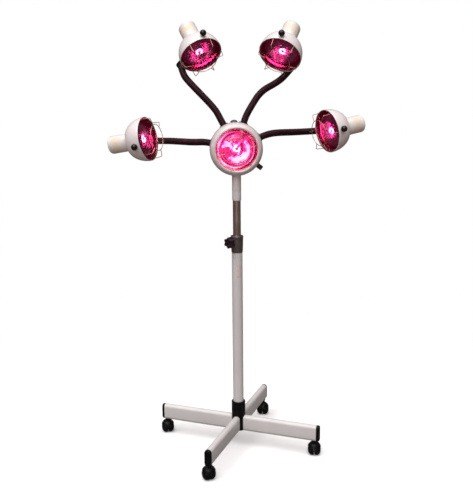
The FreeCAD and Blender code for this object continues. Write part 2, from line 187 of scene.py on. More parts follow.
def new_piece(name, shells, finishes, sharp=38.0):
    """A mesh from shells of (point grid, whether its rows close up, finish number).

    Neighbouring points of a grid are the corners of its quads and its columns always close up.
    Points that meet are merged, so a row drawn to a point or zipped shut ends the shell.
    """
    spots, quads, marks, first = [], [], [], 0
    for grid, closed, mark in shells:
        number = np.arange(grid.shape[0] * grid.shape[1]).reshape(grid.shape[:2]) + first
        number = np.vstack([number, number[:1]]) if closed else number
        number = np.hstack([number, number[:, :1]])
        quads.append(np.stack([number[:-1, :-1], number[1:, :-1], number[1:, 1:], number[:-1, 1:]],
                              -1).reshape(-1, 4))
        marks.append(np.full(len(quads[-1]), mark))
        spots.append(grid.reshape(-1, 3))
        first += grid.shape[0] * grid.shape[1]
    spots, quads, marks = np.vstack(spots), np.vstack(quads), np.concatenate(marks)
    mesh = bpy.data.meshes.new(name)
    mesh.vertices.add(len(spots))
    mesh.vertices.foreach_set("co", spots.astype(np.float32).ravel())
    mesh.loops.add(quads.size)
    mesh.loops.foreach_set("vertex_index", quads.astype(np.int32).ravel())
    mesh.polygons.add(len(quads))
    mesh.polygons.foreach_set("loop_start", np.arange(0, quads.size, 4, dtype=np.int32))
    mesh.polygons.foreach_set("material_index", marks.astype(np.int32))
    mesh.update(calc_edges=True)
    shape = bmesh.new()
    shape.from_mesh(mesh)
    bmesh.ops.remove_doubles(shape, verts=shape.verts, dist=4e-6)
    bmesh.ops.recalc_face_normals(shape, faces=shape.faces)
    shape.to_mesh(mesh)
    shape.free()
    mesh.polygons.foreach_set("use_smooth", np.ones(len(mesh.polygons), bool))
    mesh.set_sharp_from_angle(angle=math.radians(sharp))
    for finish in finishes:
        mesh.materials.append(finish)
    piece = bpy.data.objects.new(name, mesh)
    bpy.context.scene.collection.objects.link(piece)
    return piece


def effect(name, inputs, outputs):
    """An empty shader node group with named sockets, and its input and output nodes."""
    group = bpy.data.node_groups.new(name, "ShaderNodeTree")
    kinds = {"v": "NodeSocketVector", "f": "NodeSocketFloat", "c": "NodeSocketColor"}
    for side, names in (("INPUT", inputs), ("OUTPUT", outputs)):
        for key, kind in names.items():
            group.interface.new_socket(name=key, in_out=side, socket_type=kinds[kind])
    return group, group.nodes.new("NodeGroupInput"), group.nodes.new("NodeGroupOutput")


def moulded_grain():
    """Fine bumps of a moulded or sprayed skin: Normal, from noise of a Scale pushed out by Depth."""
    group, start, end = effect("moulded_grain", {"Vector": "v", "Scale": "f", "Depth": "f"}, {"Normal": "v"})
    noise = node(group, "ShaderNodeTexNoise", Vector=(start, "Vector"), Scale=(start, "Scale"), Detail=2.0)
    bump = node(group, "ShaderNodeBump", Strength=1.0, Distance=(start, "Depth"), Height=(noise, "Fac"))
    group.links.new(bump.outputs["Normal"], end.inputs["Normal"])
    return group


def uneven_gloss():
    """Handling marks: Roughness drifts between Low and High over patches of a Scale."""
    group, start, end = effect("uneven_gloss", {"Vector": "v", "Scale": "f", "Low": "f", "High": "f"},
                               {"Roughness": "f"})
    noise = node(group, "ShaderNodeTexNoise", Vector=(start, "Vector"), Scale=(start, "Scale"), Detail=4.0,
                 Roughness=0.62)
    spread = node(group, "ShaderNodeMapRange", Value=(noise, "Fac"), From_Min=0.3, From_Max=0.7,
                  To_Min=(start, "Low"), To_Max=(start, "High"))
    group.links.new(spread.outputs["Result"], end.inputs["Roughness"])
    return group


def colour_drift():
    """Slow colour change: Color runs from First to Second over patches of a Scale."""
    group, start, end = effect("colour_drift", {"Vector": "v", "Scale": "f", "First": "c", "Second": "c"},
                               {"Color": "c"})
    noise = node(group, "ShaderNodeTexNoise", Vector=(start, "Vector"), Scale=(start, "Scale"), Detail=3.0)
    spread = node(group, "ShaderNodeMapRange", Value=(noise, "Fac"), From_Min=0.32, From_Max=0.68)
    mix = node(group, "ShaderNodeMix", {"data_type": "RGBA"}, _0=(spread, "Result"), _6=(start, "First"),
               _7=(start, "Second"))
    group.links.new(mix.outputs[2], end.inputs["Color"])
    return group


def settled_dust():
    """Dust on upward faces: Color goes to Dust where the surface looks up, broken by noise, by Amount."""
    group, start, end = effect("settled_dust", {"Vector": "v", "Color": "c", "Dust": "c", "Amount": "f"},
                               {"Color": "c"})
    facing = node(group, "ShaderNodeNewGeometry")
    split = node(group, "ShaderNodeSeparateXYZ", Vector=(facing, "Normal"))
    upward = node(group, "ShaderNodeMapRange", Value=(split, "Z"), From_Min=0.2, From_Max=1.0)
    noise = node(group, "ShaderNodeTexNoise", Vector=(start, "Vector"), Scale=90.0, Detail=5.0)
    speckle = node(group, "ShaderNodeMapRange", Value=(noise, "Fac"), From_Min=0.35, From_Max=0.75)
    both = node(group, "ShaderNodeMath", {"operation": "MULTIPLY"}, _0=(upward, "Result"),
                _1=(speckle, "Result"))
    share = node(group, "ShaderNodeMath", {"operation": "MULTIPLY"}, _0=(both, "Value"), _1=(start, "Amount"))
    mix = node(group, "ShaderNodeMix", {"data_type": "RGBA"}, _0=(share, "Value"), _6=(start, "Color"),
               _7=(start, "Dust"))
    group.links.new(mix.outputs[2], end.inputs["Color"])
    return group


def edge_rub():
    """Edge wear: Color goes to Worn on outward edges, found from the mesh's pointiness and
    broken by noise."""
    group, start, end = effect("edge_rub", {"Vector": "v", "Color": "c", "Worn": "c", "Amount": "f"},
                               {"Color": "c", "Mask": "f"})
    bend = node(group, "ShaderNodeNewGeometry")
    edge = node(group, "ShaderNodeMapRange", Value=(bend, "Pointiness"), From_Min=0.51, From_Max=0.58)
    noise = node(group, "ShaderNodeTexNoise", Vector=(start, "Vector"), Scale=140.0, Detail=4.0)
    broken = node(group, "ShaderNodeMapRange", Value=(noise, "Fac"), From_Min=0.35, From_Max=0.6)
    both = node(group, "ShaderNodeMath", {"operation": "MULTIPLY"}, _0=(edge, "Result"),
                _1=(broken, "Result"))
    share = node(group, "ShaderNodeMath", {"operation": "MULTIPLY"}, _0=(both, "Value"), _1=(start, "Amount"))
    mix = node(group, "ShaderNodeMix", {"data_type": "RGBA"}, _0=(share, "Value"), _6=(start, "Color"),
               _7=(start, "Worn"))
    group.links.new(mix.outputs[2], end.inputs["Color"])
    group.links.new(share.outputs["Value"], end.inputs["Mask"])
    return group


EFFECTS = {made.name: made for made in (moulded_grain(), uneven_gloss(), colour_drift(), settled_dust(),
                                        edge_rub())}


def new_finish(name, metal=0.0, **plain):
    """A material whose Principled BSDF has these plain values; returns it, its tree and its shader."""
    material = bpy.data.materials.new(name)
    material.use_nodes = True
    shader = material.node_tree.nodes["Principled BSDF"]
    shader.inputs["Metallic"].default_value = metal
    for key, value in plain.items():
        shader.inputs[key.replace("_", " ")].default_value = value
    return material, material.node_tree, shader


def use_effect(tree, name, **sockets):
    """Place one of the shared effects in a material's tree, with its own values."""
    return node(tree, "ShaderNodeGroup", {"node_tree": EFFECTS[name]}, **sockets)


def coat_with(tree, shader, first, second, drift, gloss, grain, dust=None, rub=None):
    """Colour drift, gloss, grain, and dust or edge wear where given, joined to a shader."""
    place = (node(tree, "ShaderNodeTexCoord"), "Object")
    tint = use_effect(tree, "colour_drift", Vector=place, Scale=drift, First=(*first, 1), Second=(*second, 1))
    if rub:
        tint = use_effect(tree, "edge_rub", Vector=place, Color=(tint, "Color"), Worn=(*rub[0], 1),
                          Amount=rub[1])
    if dust:
        tint = use_effect(tree, "settled_dust", Vector=place, Color=(tint, "Color"), Dust=(*dust[0], 1),
                          Amount=dust[1])
    tree.links.new(tint.outputs["Color"], shader.inputs["Base Color"])
    sheen = use_effect(tree, "uneven_gloss", Vector=place, Scale=gloss[0], Low=gloss[1], High=gloss[2])
    tree.links.new(sheen.outputs["Roughness"], shader.inputs["Roughness"])
    skin = use_effect(tree, "moulded_grain", Vector=place, Scale=grain[0], Depth=grain[1])
    tree.links.new(skin.outputs["Normal"], shader.inputs["Normal"])


def drift_into(tree, shader, scale, first, second, *sockets):
    """Link a colour that drifts from first to second into the named sockets of a shader."""
    place = (node(tree, "ShaderNodeTexCoord"), "Object")
    tint = use_effect(tree, "colour_drift", Vector=place, Scale=scale, First=(*first, 1), Second=(*second, 1))
    for socket in sockets:
        tree.links.new(tint.outputs["Color"], shader.inputs[socket])


black_plastic, tree, shader = new_finish("black_plastic", Specular_IOR_Level=0.13)
coat_with(tree, shader, (0.0014, 0.0013, 0.0014), (0.0035, 0.003, 0.0032), 18.0, (35.0, 0.26, 0.42),
          (900.0, 0.00006), dust=((0.06, 0.055, 0.05), 0.06), rub=((0.03, 0.028, 0.027), 0.3))

hub = new_piece("hub", [
    (turned(rounded([(0, HUB_LOW, 0), (HUB_R, HUB_LOW, 3.5), (HUB_R, HUB_TOP - 16, 0.3),
                     (HUB_R - 0.7, HUB_TOP - 15.6, 0.2),
                     (HUB_R - 0.7, HUB_TOP - 14.4, 0.2), (HUB_R, HUB_TOP - 14, 0.3), (HUB_R, HUB_TOP, 3.2),
                     (MAST_R, HUB_TOP, 0.8), (MAST_R, HUB_LOW + 10, 0), (0, HUB_LOW + 10, 0)])), True, 0)],
    [black_plastic])
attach(hub, "base")
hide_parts("base_hub")

# ---- Legs ----------------------------------------------------------------------------------
# Four flat-oval steel tubes standing on edge, sprayed with white powder coat that has a slight
# orange peel.  They are pressed into the hub and closed by black end caps.
LEG_YAW, LEG_MID, LEG_TALL, LEG_WIDE, LEG_END = 69.8, 87.0, 60.0, 25.0, 297.0

white_paint, tree, shader = new_finish("white_paint", Specular_IOR_Level=0.5, Coat_Weight=0.25,
                                       Coat_Roughness=0.18)
coat_with(tree, shader, (0.60, 0.575, 0.57), (0.66, 0.635, 0.63), 9.0, (22.0, 0.30, 0.42), (420.0, 0.00010),
          dust=((0.42, 0.39, 0.36), 0.10))


def flat_oval(inset):
    """Closed loop with straight sides and full-round ends, drawn in by an inset: half circles of
    the radius wide/2 - inset about centres (tall - wide)/2 above and below the middle."""
    a = np.linspace(0, 2 * np.pi, 56, endpoint=False) + np.pi / 56
    radius, straight = LEG_WIDE / 2 - inset, (LEG_TALL - LEG_WIDE) / 2
    return np.stack([radius * np.cos(a), radius * np.sin(a) + np.sign(np.sin(a)) * straight], -1)


def bar_along(stations, yaw):
    """Flat-oval loops of (distance out, inset) pairs in mm, standing along a yaw from the mast."""
    loops = np.stack([np.column_stack([np.full(56, out), flat_oval(inset)]) for out, inset in stations]) * MM
    return set_at(loops, (0, 0, LEG_MID * MM), (math.cos(yaw), math.sin(yaw), 0), (0, 0, 1))


yaws = [math.radians(LEG_YAW + 90 * quarter) for quarter in range(4)]
legs = new_piece("leg_tubes", [
    (bar_along([(22, 0), (LEG_END - 0.3, 0), (LEG_END, 0.3), (LEG_END, 1.2), (LEG_END - 0.3, 1.5),
                (22, 1.5)], yaw), True, 0)
    for yaw in yaws], [white_paint])
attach(legs, "base")
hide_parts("legs")

# ---- Leg end caps --------------------------------------------------------------------------
# Black moulded plugs that close the leg tubes, with a softly rounded outer edge and a fine
# shadow groove where they meet the paint.
CAP_OUT = 308.0
round_edge = [(CAP_OUT - 5 + 5 * math.sin(t), 5 - 5 * math.cos(t)) for t in np.linspace(0, math.pi / 2, 9)]
caps = new_piece("leg_caps", [
    (bar_along([(LEG_END - 6, LEG_WIDE / 2 - 0.001), (LEG_END - 6, 2.0), (LEG_END + 0.2, 2.0),
                (LEG_END + 0.2, 0.5),
                (LEG_END + 0.7, 0)] + round_edge + [(CAP_OUT + 0.0, LEG_WIDE / 2 - 0.001)], yaw), False, 0)
    for yaw in yaws], [black_plastic])
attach(caps, "base")
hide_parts("leg_end_caps")

# ---- Casters -------------------------------------------------------------------------------
# Ball casters.  A round black hood turns on its stem under each leg and carries a steel axle on
# a thin web, and two domed wheels with a grey-black skin run on the axle, one on either side.
CASTER_RING, TREAD_R, TRAIL, WEB = 289.0, 21.0, 9.0, 4.0
CASTER_YAW = {"rear": 262.0, "left": 102.0, "front": 112.0, "right": 84.0}
HOOD_R, HOOD_WALL, HOOD_Z, HOOD_SKIRT = 24.6, 1.4, 26.0, 33.0
WEB_HIGH_R, WEB_LOW_R = 23.7, 12.8

caster_tread, tree, shader = new_finish("caster_tread", Specular_IOR_Level=0.14)
coat_with(tree, shader, (0.0022, 0.0022, 0.0023), (0.0045, 0.0044, 0.0042), 60.0, (120.0, 0.34, 0.5),
          (700.0, 0.00008), dust=((0.12, 0.115, 0.10), 0.10), rub=((0.06, 0.058, 0.055), 0.4))
bright_steel, tree, shader = new_finish("bright_steel", metal=1.0)
coat_with(tree, shader, (0.58, 0.57, 0.55), (0.70, 0.69, 0.67), 40.0, (160.0, 0.20, 0.36), (500.0, 0.00003))


def flowing(knots, count):
    """Smooth line through knots (Catmull-Rom): between two knots the cubic whose end slopes are
    half the differences of the neighbouring knots, sampled evenly; mm in, metres out."""
    k = np.array(knots, float)
    k = np.vstack([2 * k[0] - k[1], k, 2 * k[-1] - k[-2]])
    s = np.linspace(0, len(k) - 3 - 1e-9, count)
    i, t = s.astype(int), (s % 1)[:, None]
    a, b, c, d = k[i], k[i + 1], k[i + 2], k[i + 3]
    square = a - 2.5 * b + 2 * c - 0.5 * d
    cube = 1.5 * b - 0.5 * a - 1.5 * c + 0.5 * d
    return (b + 0.5 * t * (c - a) + t ** 2 * square + t ** 3 * cube) * MM


def placed(shells, origin, x_way, z_way):
    """Shells whose grids are moved as set_at says."""
    return [(set_at(grid, origin, x_way, z_way), closed, mark) for grid, closed, mark in shells]


def round_hood():
    """Shell of the hood about the vertical through its middle: two arcs, one wall apart, about
    the height HOOD_Z, that come down to the skirt."""
    arcs = []
    for radius in (HOOD_R, HOOD_R - HOOD_WALL):
        t = np.linspace(0, math.acos((HOOD_SKIRT - HOOD_Z) / radius), 26)
        arcs.append(np.stack([radius * np.sin(t), HOOD_Z + radius * np.cos(t)], -1))
    low = (arcs[0][-1] + arcs[1][-1]) / 2 - (0, 0.3)
    return turned(np.vstack([arcs[0], [low], arcs[1][::-1]]) * MM, 72)


def web_plate():
    """Plate between the wheels, about the axle: above it the plate reaches a circle of radius
    WEB_HIGH_R about the hood's middle, below it a circle of radius WEB_LOW_R about the axle."""
    a = np.linspace(0, 2 * np.pi, 72, endpoint=False)
    up = HOOD_Z - TREAD_R
    rise = up * np.sin(a)
    reach = np.where(np.sin(a) >= -0.02, rise + np.sqrt(rise ** 2 + WEB_HIGH_R ** 2 - up ** 2), WEB_LOW_R)
    rows = []
    for share, y in [(0.0, -WEB / 2), (1.0, -WEB / 2), (1.0, WEB / 2), (0.0, WEB / 2)]:
        rows.append(np.stack([share * reach * np.cos(a), y + 0 * a, share * reach * np.sin(a)], -1))
    return np.stack(rows) * MM


def wheel_outline():
    """Half section of one wheel as (radius, distance from the middle): flat inside, tread, and
    a domed side with a fine groove round the hub."""
    near = WEB / 2 + 0.4
    side = flowing([(TREAD_R, 3.6), (TREAD_R, 9.5), (20.1, 13.4), (17.3, 17.5), (13.2, 20.7), (9, 22.5),
                    (5, 23.2), (0, 23.3)], 56)
    side[:, 1] -= 0.5 * MM * np.exp(-((side[:, 0] / MM - 8.0) / 0.5) ** 2)
    return np.vstack([rounded([(0, near, 0), (TREAD_R - 0.9, near, 0.4)]), side])


for name, leg_yaw in zip(CASTER_YAW, yaws):
    spot = (CASTER_RING * MM * math.cos(leg_yaw), CASTER_RING * MM * math.sin(leg_yaw), 0)
    ahead = (math.cos(math.radians(CASTER_YAW[name])), math.sin(math.radians(CASTER_YAW[name])), 0)
    over_axle = np.array([TRAIL, 0, TREAD_R]) * MM
    stem = turned(rounded([(0, 44, 0), (7.5, 44, 0), (7.5, 50, 3), (6.2, 54.3, 0.5), (9.5, 54.5, 0.5),
                           (9.5, 56.6, 0.5), (5.5, 56.8, 0.3), (5.5, 88, 1), (0, 88, 0)]), 48)
    axle = turned(rounded([(0, -18, 0), (3, -18, 0.4), (3, 18, 0.4), (0, 18, 0)]), 32)
    fork_shells = [(round_hood() + (TRAIL * MM, 0, 0), True, 0), (web_plate() + over_axle, False, 0),
                   (stem, True, 0), (set_at(axle, over_axle, (1, 0, 0), (0, 1, 0)), True, 1)]
    fork = new_piece("caster_hood_" + name, placed(fork_shells, spot, ahead, (0, 0, 1)),
                     [black_plastic, bright_steel])
    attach(fork, "caster_" + name)
    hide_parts("caster_fork_" + name)
    wheel_shells = []
    for side in (-1, 1):
        wheel_shells.append((set_at(turned(wheel_outline(), 72), over_axle, (1, 0, 0), (0, side, 0)),
                             True, 0))
    wheels = new_piece("caster_pair_" + name, placed(wheel_shells, spot, ahead, (0, 0, 1)), [caster_tread])
    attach(wheels, "wheels_" + name)
    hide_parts("caster_wheels_" + name)

# ---- Lower mast tube -----------------------------------------------------------------------
# A straight steel tube with the same white powder coat.  It stands in the hub's bore, and a
# small blank paper label is stuck on its front below the clamp.
TUBE_TOP = 758.0
lower_tube = new_piece("mast_lower_tube", [
    (turned(rounded([(MAST_R, HUB_LOW + 10, 0), (MAST_R, 300, 0), (MAST_R, 520, 0), (MAST_R, TUBE_TOP, 0.5),
                     (MAST_R - 1.5, TUBE_TOP, 0.5), (MAST_R - 1.5, HUB_LOW + 10, 0)])), True, 0)],
                     [white_paint])
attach(lower_tube, "base")
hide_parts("lower_tube")

label_paper, tree, shader = new_finish("label_paper", Specular_IOR_Level=0.3)
coat_with(tree, shader, (0.62, 0.50, 0.49), (0.70, 0.60, 0.58), 60.0, (90.0, 0.45, 0.6), (1500.0, 0.00004))


def curved_label(radius, middle, spread, low, high):
    """A thin sheet wrapped on a cylinder with rounded corners: the loop of a superellipse in
    (angle, height) at radius + 0.2, zipped to its middle, over its twin at radius - 0.3."""
    a = np.linspace(0, 2 * np.pi, 96, endpoint=False)
    u = np.sign(np.cos(a)) * np.abs(np.cos(a)) ** 0.25
    v = np.sign(np.sin(a)) * np.abs(np.sin(a)) ** 0.25
    rings = []
    for share, r in [(0.0, -0.3), (0.35, -0.3), (0.7, -0.3), (1.0, -0.3), (1.0, 0.1), (0.985, 0.2)] + [
            (k / 8, 0.2) for k in range(7, -1, -1)]:
        turn = math.radians(middle) + math.radians(spread / 2) * u * share
        rings.append(np.stack([(radius + r) * np.cos(turn), (radius + r) * np.sin(turn),
                               (low + high) / 2 + (high - low) / 2 * v * share], -1))
    return np.array(rings) * MM


tube_label = new_piece("tube_label", [(curved_label(MAST_R, 292, 58, 642, 690), False, 0)], [label_paper])
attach(tube_label, "base")

# ---- Clamp collar --------------------------------------------------------------------------
# A grey zinc die casting pressed over the tube's end, with a thicker lip round its top and a
# boss for the clamp screw.  Its skin is slightly pitted and its edges are rubbed bright.
COLLAR_LOW, COLLAR_TOP, CHROME_R, CLAMP_Z = 731.0, 791.0, 14.0, 771.0
CLAMP_YAW = math.radians(228)
clamp_way = (math.cos(CLAMP_YAW), math.sin(CLAMP_YAW), 0)

cast_grey, tree, shader = new_finish("cast_grey", metal=0.75)
coat_with(tree, shader, (0.13, 0.112, 0.105), (0.19, 0.168, 0.16), 55.0, (70.0, 0.34, 0.52), (330.0, 0.0002),
          rub=((0.55, 0.50, 0.46), 0.9), dust=((0.20, 0.18, 0.16), 0.2))

collar_shells = [(turned(rounded([
    (MAST_R, COLLAR_LOW, 0.1), (MAST_R + 0.7, COLLAR_LOW, 0.4), (20.6, COLLAR_LOW + 8, 3),
    (21.6, COLLAR_TOP - 9.5, 1.5),
    (22.3, COLLAR_TOP - 6.5, 1.2), (22.3, COLLAR_TOP - 0.8, 1.6), (20.5, COLLAR_TOP, 1.0),
    (17.2, COLLAR_TOP - 0.2, 1.0),
    (CHROME_R + 0.5, COLLAR_TOP - 3, 0.8), (CHROME_R + 0.5, TUBE_TOP + 2, 0), (MAST_R, TUBE_TOP + 2, 0)])),
    True, 0)]
boss = turned(rounded([(4.1, 15.5, 0), (8.5, 15.5, 0), (8.5, 27, 1.2), (6.5, 27.1, 0.6), (6.2, 26.4, 0.3),
                       (4.1, 26.4, 0.3)]), 64)
collar_shells.append((set_at(boss, (0, 0, CLAMP_Z * MM), (0, 0, 1), clamp_way), True, 0))
collar = new_piece("clamp_casting", collar_shells, [cast_grey])
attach(collar, "base")
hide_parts("clamp_collar")

# ---- Clamp screw and knob ------------------------------------------------------------------
# A zinc-plated steel screw, moulded into a black six-lobed hand knob.  Turning the knob presses
# the screw's end against the chrome tube.
SCREW_R, KNOB_LOW, KNOB_HIGH = 4.0, 30.0, 49.0


def threaded(radius, start, end, pitch):
    """A screw thread along +Z: the radius falls by 0.45 mm as a wave of the height less the angle."""
    z = np.linspace(start, end, int((end - start) / pitch * 8))[:, None]
    a = np.linspace(0, 2 * np.pi, 40, endpoint=False)
    r = radius - 0.45 * (0.5 + 0.5 * np.cos(2 * np.pi * z / pitch - a)) ** 1.5
    grid = np.stack([r * np.cos(a), r * np.sin(a), z + 0 * a], -1)
    point = np.zeros((1, 40, 3))
    return np.vstack([point + (0, 0, start), grid, point + (0, 0, end)]) * MM


clamp_spot = (0, 0, CLAMP_Z * MM)
thread = threaded(SCREW_R, CHROME_R + 0.4, 34, 1.5)
screw = new_piece("clamp_thread", [(set_at(thread, clamp_spot, (0, 0, 1), clamp_way), False, 0)],
                  [bright_steel])
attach(screw, "clamp")
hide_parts("clamp_screw")


def lobed_knob():
    """Six lobes about +Z: the radius is 17.5 + 2.5 cos 6a in mm, pulled in towards the two faces
    by a rounding, and the front face is dished a little."""
    a = np.linspace(0, 2 * np.pi, 144, endpoint=False)
    rim = 17.5 + 2.5 * np.cos(6 * a)
    rows = [(0.0, KNOB_LOW), (0.42, KNOB_LOW)]
    rows += [(0.86 + 0.14 * math.sin(t), KNOB_LOW + 2.2 - 2.2 * math.cos(t))
             for t in np.linspace(0, math.pi / 2, 6)]
    rows += [(1.0, z) for z in (35.0, 38.0, 41.0, 44.0)]
    rows += [(0.84 + 0.16 * math.cos(t), KNOB_HIGH - 3 + 3 * math.sin(t))
             for t in np.linspace(0.1, math.pi / 2, 8)]
    rows += [(0.62, KNOB_HIGH - 0.3), (0.56, KNOB_HIGH - 1.0), (0.3, KNOB_HIGH - 1.2), (0.0, KNOB_HIGH - 1.2)]
    share, z = np.array(rows).T[:, :, None]
    return np.stack([share * rim * np.cos(a), share * rim * np.sin(a), z + 0 * a], -1) * MM


knob_phenolic, tree, shader = new_finish("knob_phenolic", Specular_IOR_Level=0.25)
coat_with(tree, shader, (0.014, 0.004, 0.008), (0.024, 0.008, 0.014), 40.0, (60.0, 0.22, 0.36),
          (600.0, 0.00004), dust=((0.07, 0.05, 0.05), 0.08), rub=((0.06, 0.03, 0.04), 0.4))
knob_grid = set_at(lobed_knob(), clamp_spot, (0, 0, 1), clamp_way)
clamp_knob = new_piece("clamp_hand_knob", [(knob_grid, False, 0)], [knob_phenolic])
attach(clamp_knob, "clamp")
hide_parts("clamp_knob")

# ---- Guide bush ----------------------------------------------------------------------------
# A black nylon bush inside the lower tube's end.  The chrome tube slides in it and it stays
# hidden under the collar, so the frame's own solid shows it.
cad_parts["mast_bush"].data.materials.clear()
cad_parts["mast_bush"].data.materials.append(black_plastic)

# ---- Chrome tube and sleeve ----------------------------------------------------------------
# The sliding upper tube is chromed steel with faint polishing lines round it.  A short white
# sleeve on it carries the lamp body, which turns above it.
CHROME_LOW, CHROME_TOP, SLEEVE_R, SLEEVE_LOW, SLEEVE_TOP = 420.0, 1012.0, 15.8, 916.0, 948.7

chrome, tree, shader = new_finish("chrome", metal=1.0)
place = (node(tree, "ShaderNodeTexCoord"), "Object")
stretch = node(tree, "ShaderNodeMapping", Vector=place, Scale=(3.0, 3.0, 260.0))
lines = node(tree, "ShaderNodeTexNoise", Vector=(stretch, "Vector"), Scale=6.0, Detail=3.0)
bump = node(tree, "ShaderNodeBump", Strength=0.25, Distance=0.00004, Height=(lines, "Fac"))
tree.links.new(bump.outputs["Normal"], shader.inputs["Normal"])
sheen = use_effect(tree, "uneven_gloss", Vector=place, Scale=14.0, Low=0.26, High=0.38)
tree.links.new(sheen.outputs["Roughness"], shader.inputs["Roughness"])
# painted reflection: the warm brownish-pink base colour stands in for the dim, red-lit surroundings the
# chrome mirrors
drift_into(tree, shader, 16.0, (0.56, 0.45, 0.42), (0.66, 0.58, 0.55), "Base Color")

chrome_tube = new_piece("mast_chrome_tube", [
    (turned(rounded([(CHROME_R, CHROME_LOW, 0.4), (CHROME_R, 600, 0), (CHROME_R, 850, 0),
                     (CHROME_R, CHROME_TOP, 0.4),
                     (CHROME_R - 1.5, CHROME_TOP, 0.4), (CHROME_R - 1.5, CHROME_LOW, 0.4)])), True, 0)],
                     [chrome])
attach(chrome_tube, "mast")
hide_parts("mast_tube")
sleeve = new_piece("mast_collar_sleeve", [
    (turned(rounded([(CHROME_R, SLEEVE_LOW, 0), (SLEEVE_R, SLEEVE_LOW, 0.6), (SLEEVE_R, SLEEVE_TOP, 0.5),
                     (CHROME_R, SLEEVE_TOP, 0)])), True, 0)], [white_paint])
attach(sleeve, "mast")
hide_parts("mast_sleeve")

# ---- Lamp body: rear shell, neck and arm bosses ----------------------------------------------
# A round pressing, stove-enamelled white.  Its neck turns on the chrome tube, and four short
# bosses round its side take the arms.
DOME_Z, DOME_R, DOME_BACK, SPLIT, SPLIT_R, MOUTH_R, SHELL = 1093.0, 91.5, 104.0, 17.0, 90.5, 71.5, 2.5
PORT_Y, PORT_SEAT, ARM_R = 30.0, 85.0, 12.0
dome_yaw = math.radians(3)
dome_centre = np.array([0, 0, DOME_Z]) * MM
dome_back = (-math.sin(dome_yaw), math.cos(dome_yaw), 0)
dome_right = (math.cos(dome_yaw), math.sin(dome_yaw), 0)
port_centre = np.array([0, PORT_Y, DOME_Z]) * MM
PORT_ANGLE = {"upper_left": 118.0, "upper_right": 73.0, "side_left": 168.0, "side_right": 24.0}


def upright_way(degrees):
    """Unit way at an angle from +X towards +Z, out of the lamp body's side."""
    return math.cos(math.radians(degrees)), 0, math.sin(math.radians(degrees))


rear_outside = flowing([(SPLIT_R, -SPLIT), (DOME_R, 0), (90.4, 20), (86.5, 42), (79.5, 63), (67.5, 84),
                        (48, DOME_BACK - 2.2), (30, DOME_BACK)], 60)
rear_inside = flowing([(30, DOME_BACK - SHELL), (47, DOME_BACK - 4.6), (65.5, 82.3), (77.1, 61.9),
                       (84.1, 41.2), (87.9, 19.6), (DOME_R - SHELL, 0), (SPLIT_R - SHELL, -SPLIT)], 50)
rear_outline = np.vstack([[(0, DOME_BACK * MM)], rear_outside[::-1], rear_inside[::-1],
                          [(0, (DOME_BACK - SHELL) * MM)]])

dome_shells = [(set_at(turned(rear_outline, 160), dome_centre, dome_right, dome_back), True, 0)]
boss = turned(rounded([(ARM_R + 0.2, 70, 0), (19, 70, 0), (19, PORT_SEAT, 1.6),
                       (ARM_R + 0.2, PORT_SEAT, 0.5)]), 72)
for angle in PORT_ANGLE.values():
    dome_shells.append((set_at(boss, port_centre, (0, 1, 0), upright_way(angle)), True, 0))
neck = turned(rounded([(CHROME_R + 0.1, 949, 0.2), (SLEEVE_R, 949, 0.6), (SLEEVE_R, 1014, 0),
                       (CHROME_R + 0.1, 1014, 0)]))
dome_shells.append((neck, True, 0))

lamp_enamel, tree, shader = new_finish("lamp_enamel", Specular_IOR_Level=0.5, Coat_Weight=0.5,
                                       Coat_Roughness=0.10)
coat_with(tree, shader, (0.66, 0.61, 0.605), (0.72, 0.675, 0.67), 12.0, (26.0, 0.24, 0.36), (380.0, 0.00008),
          dust=((0.45, 0.41, 0.38), 0.10))
rear = new_piece("lamp_body_shell", dome_shells, [lamp_enamel])
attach(rear, "lamp")
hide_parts("dome_rear")

# ---- Front bezel ---------------------------------------------------------------------------
# The rounded white ring on the front of the lamp body, a separate pressing snapped over the
# shell's edge.  It holds the reflector, the bulb's mouth and the wire guard.
bezel_outside = flowing([(SPLIT_R, -SPLIT), (89, -23), (86, -30), (80.5, -37.5), (75.5, -40), (72.8, -39.2),
                         (MOUTH_R, -37.2)], 48)
bezel_inside = flowing([(MOUTH_R, -33), (76, -30.9), (85, -25), (SPLIT_R - SHELL, -SPLIT)], 18)
bezel_outside = np.vstack([[((SPLIT_R - 0.8) * MM, (-SPLIT + 0.2) * MM)], bezel_outside])
bezel_shell = set_at(turned(np.vstack([bezel_outside, bezel_inside]), 160), dome_centre, dome_right,
                     dome_back)
bezel = new_piece("lamp_front_ring", [(bezel_shell, True, 0)], [lamp_enamel])
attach(bezel, "lamp")
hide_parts("dome_bezel")

# ---- Reflector of the central lamp ------------------------------------------------------------
# A spun aluminium bowl behind the bulb's rim, seen as a dark glowing ring round the glass: its rose
# tint is a painted reflection of the red bulb and its faint glow is painted light.  It runs from the
# mouth back towards the lampholder and is open at both ends.
# painted light: the rose base colour stands in for the reflected red bulb, the dim red emission for its glow
reflector_painted_glow, tree, shader = new_finish("reflector", metal=1.0, Emission_Strength=0.16)
coat_with(tree, shader, (0.55, 0.16, 0.22), (0.68, 0.22, 0.30), 30.0, (60.0, 0.16, 0.28), (260.0, 0.00006))
drift_into(tree, shader, 22.0, (0.30, 0.004, 0.03), (0.60, 0.02, 0.11), "Emission Color")
bowl_outline = np.vstack([flowing([(MOUTH_R - 0.3, -32), (66, 0), (54, 24), (40, 40), (25, 50)], 40),
                          flowing([(25, 51.5), (41, 41.5), (55.4, 25), (67.4, 0.5),
                                   (MOUTH_R + 1.2, -32)], 30)])
bowl_shell = set_at(turned(bowl_outline, 120), dome_centre, dome_right, dome_back)
reflector = new_piece("lamp_bowl", [(bowl_shell, True, 0)], [reflector_painted_glow])
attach(reflector, "lamp")
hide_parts("dome_reflector")

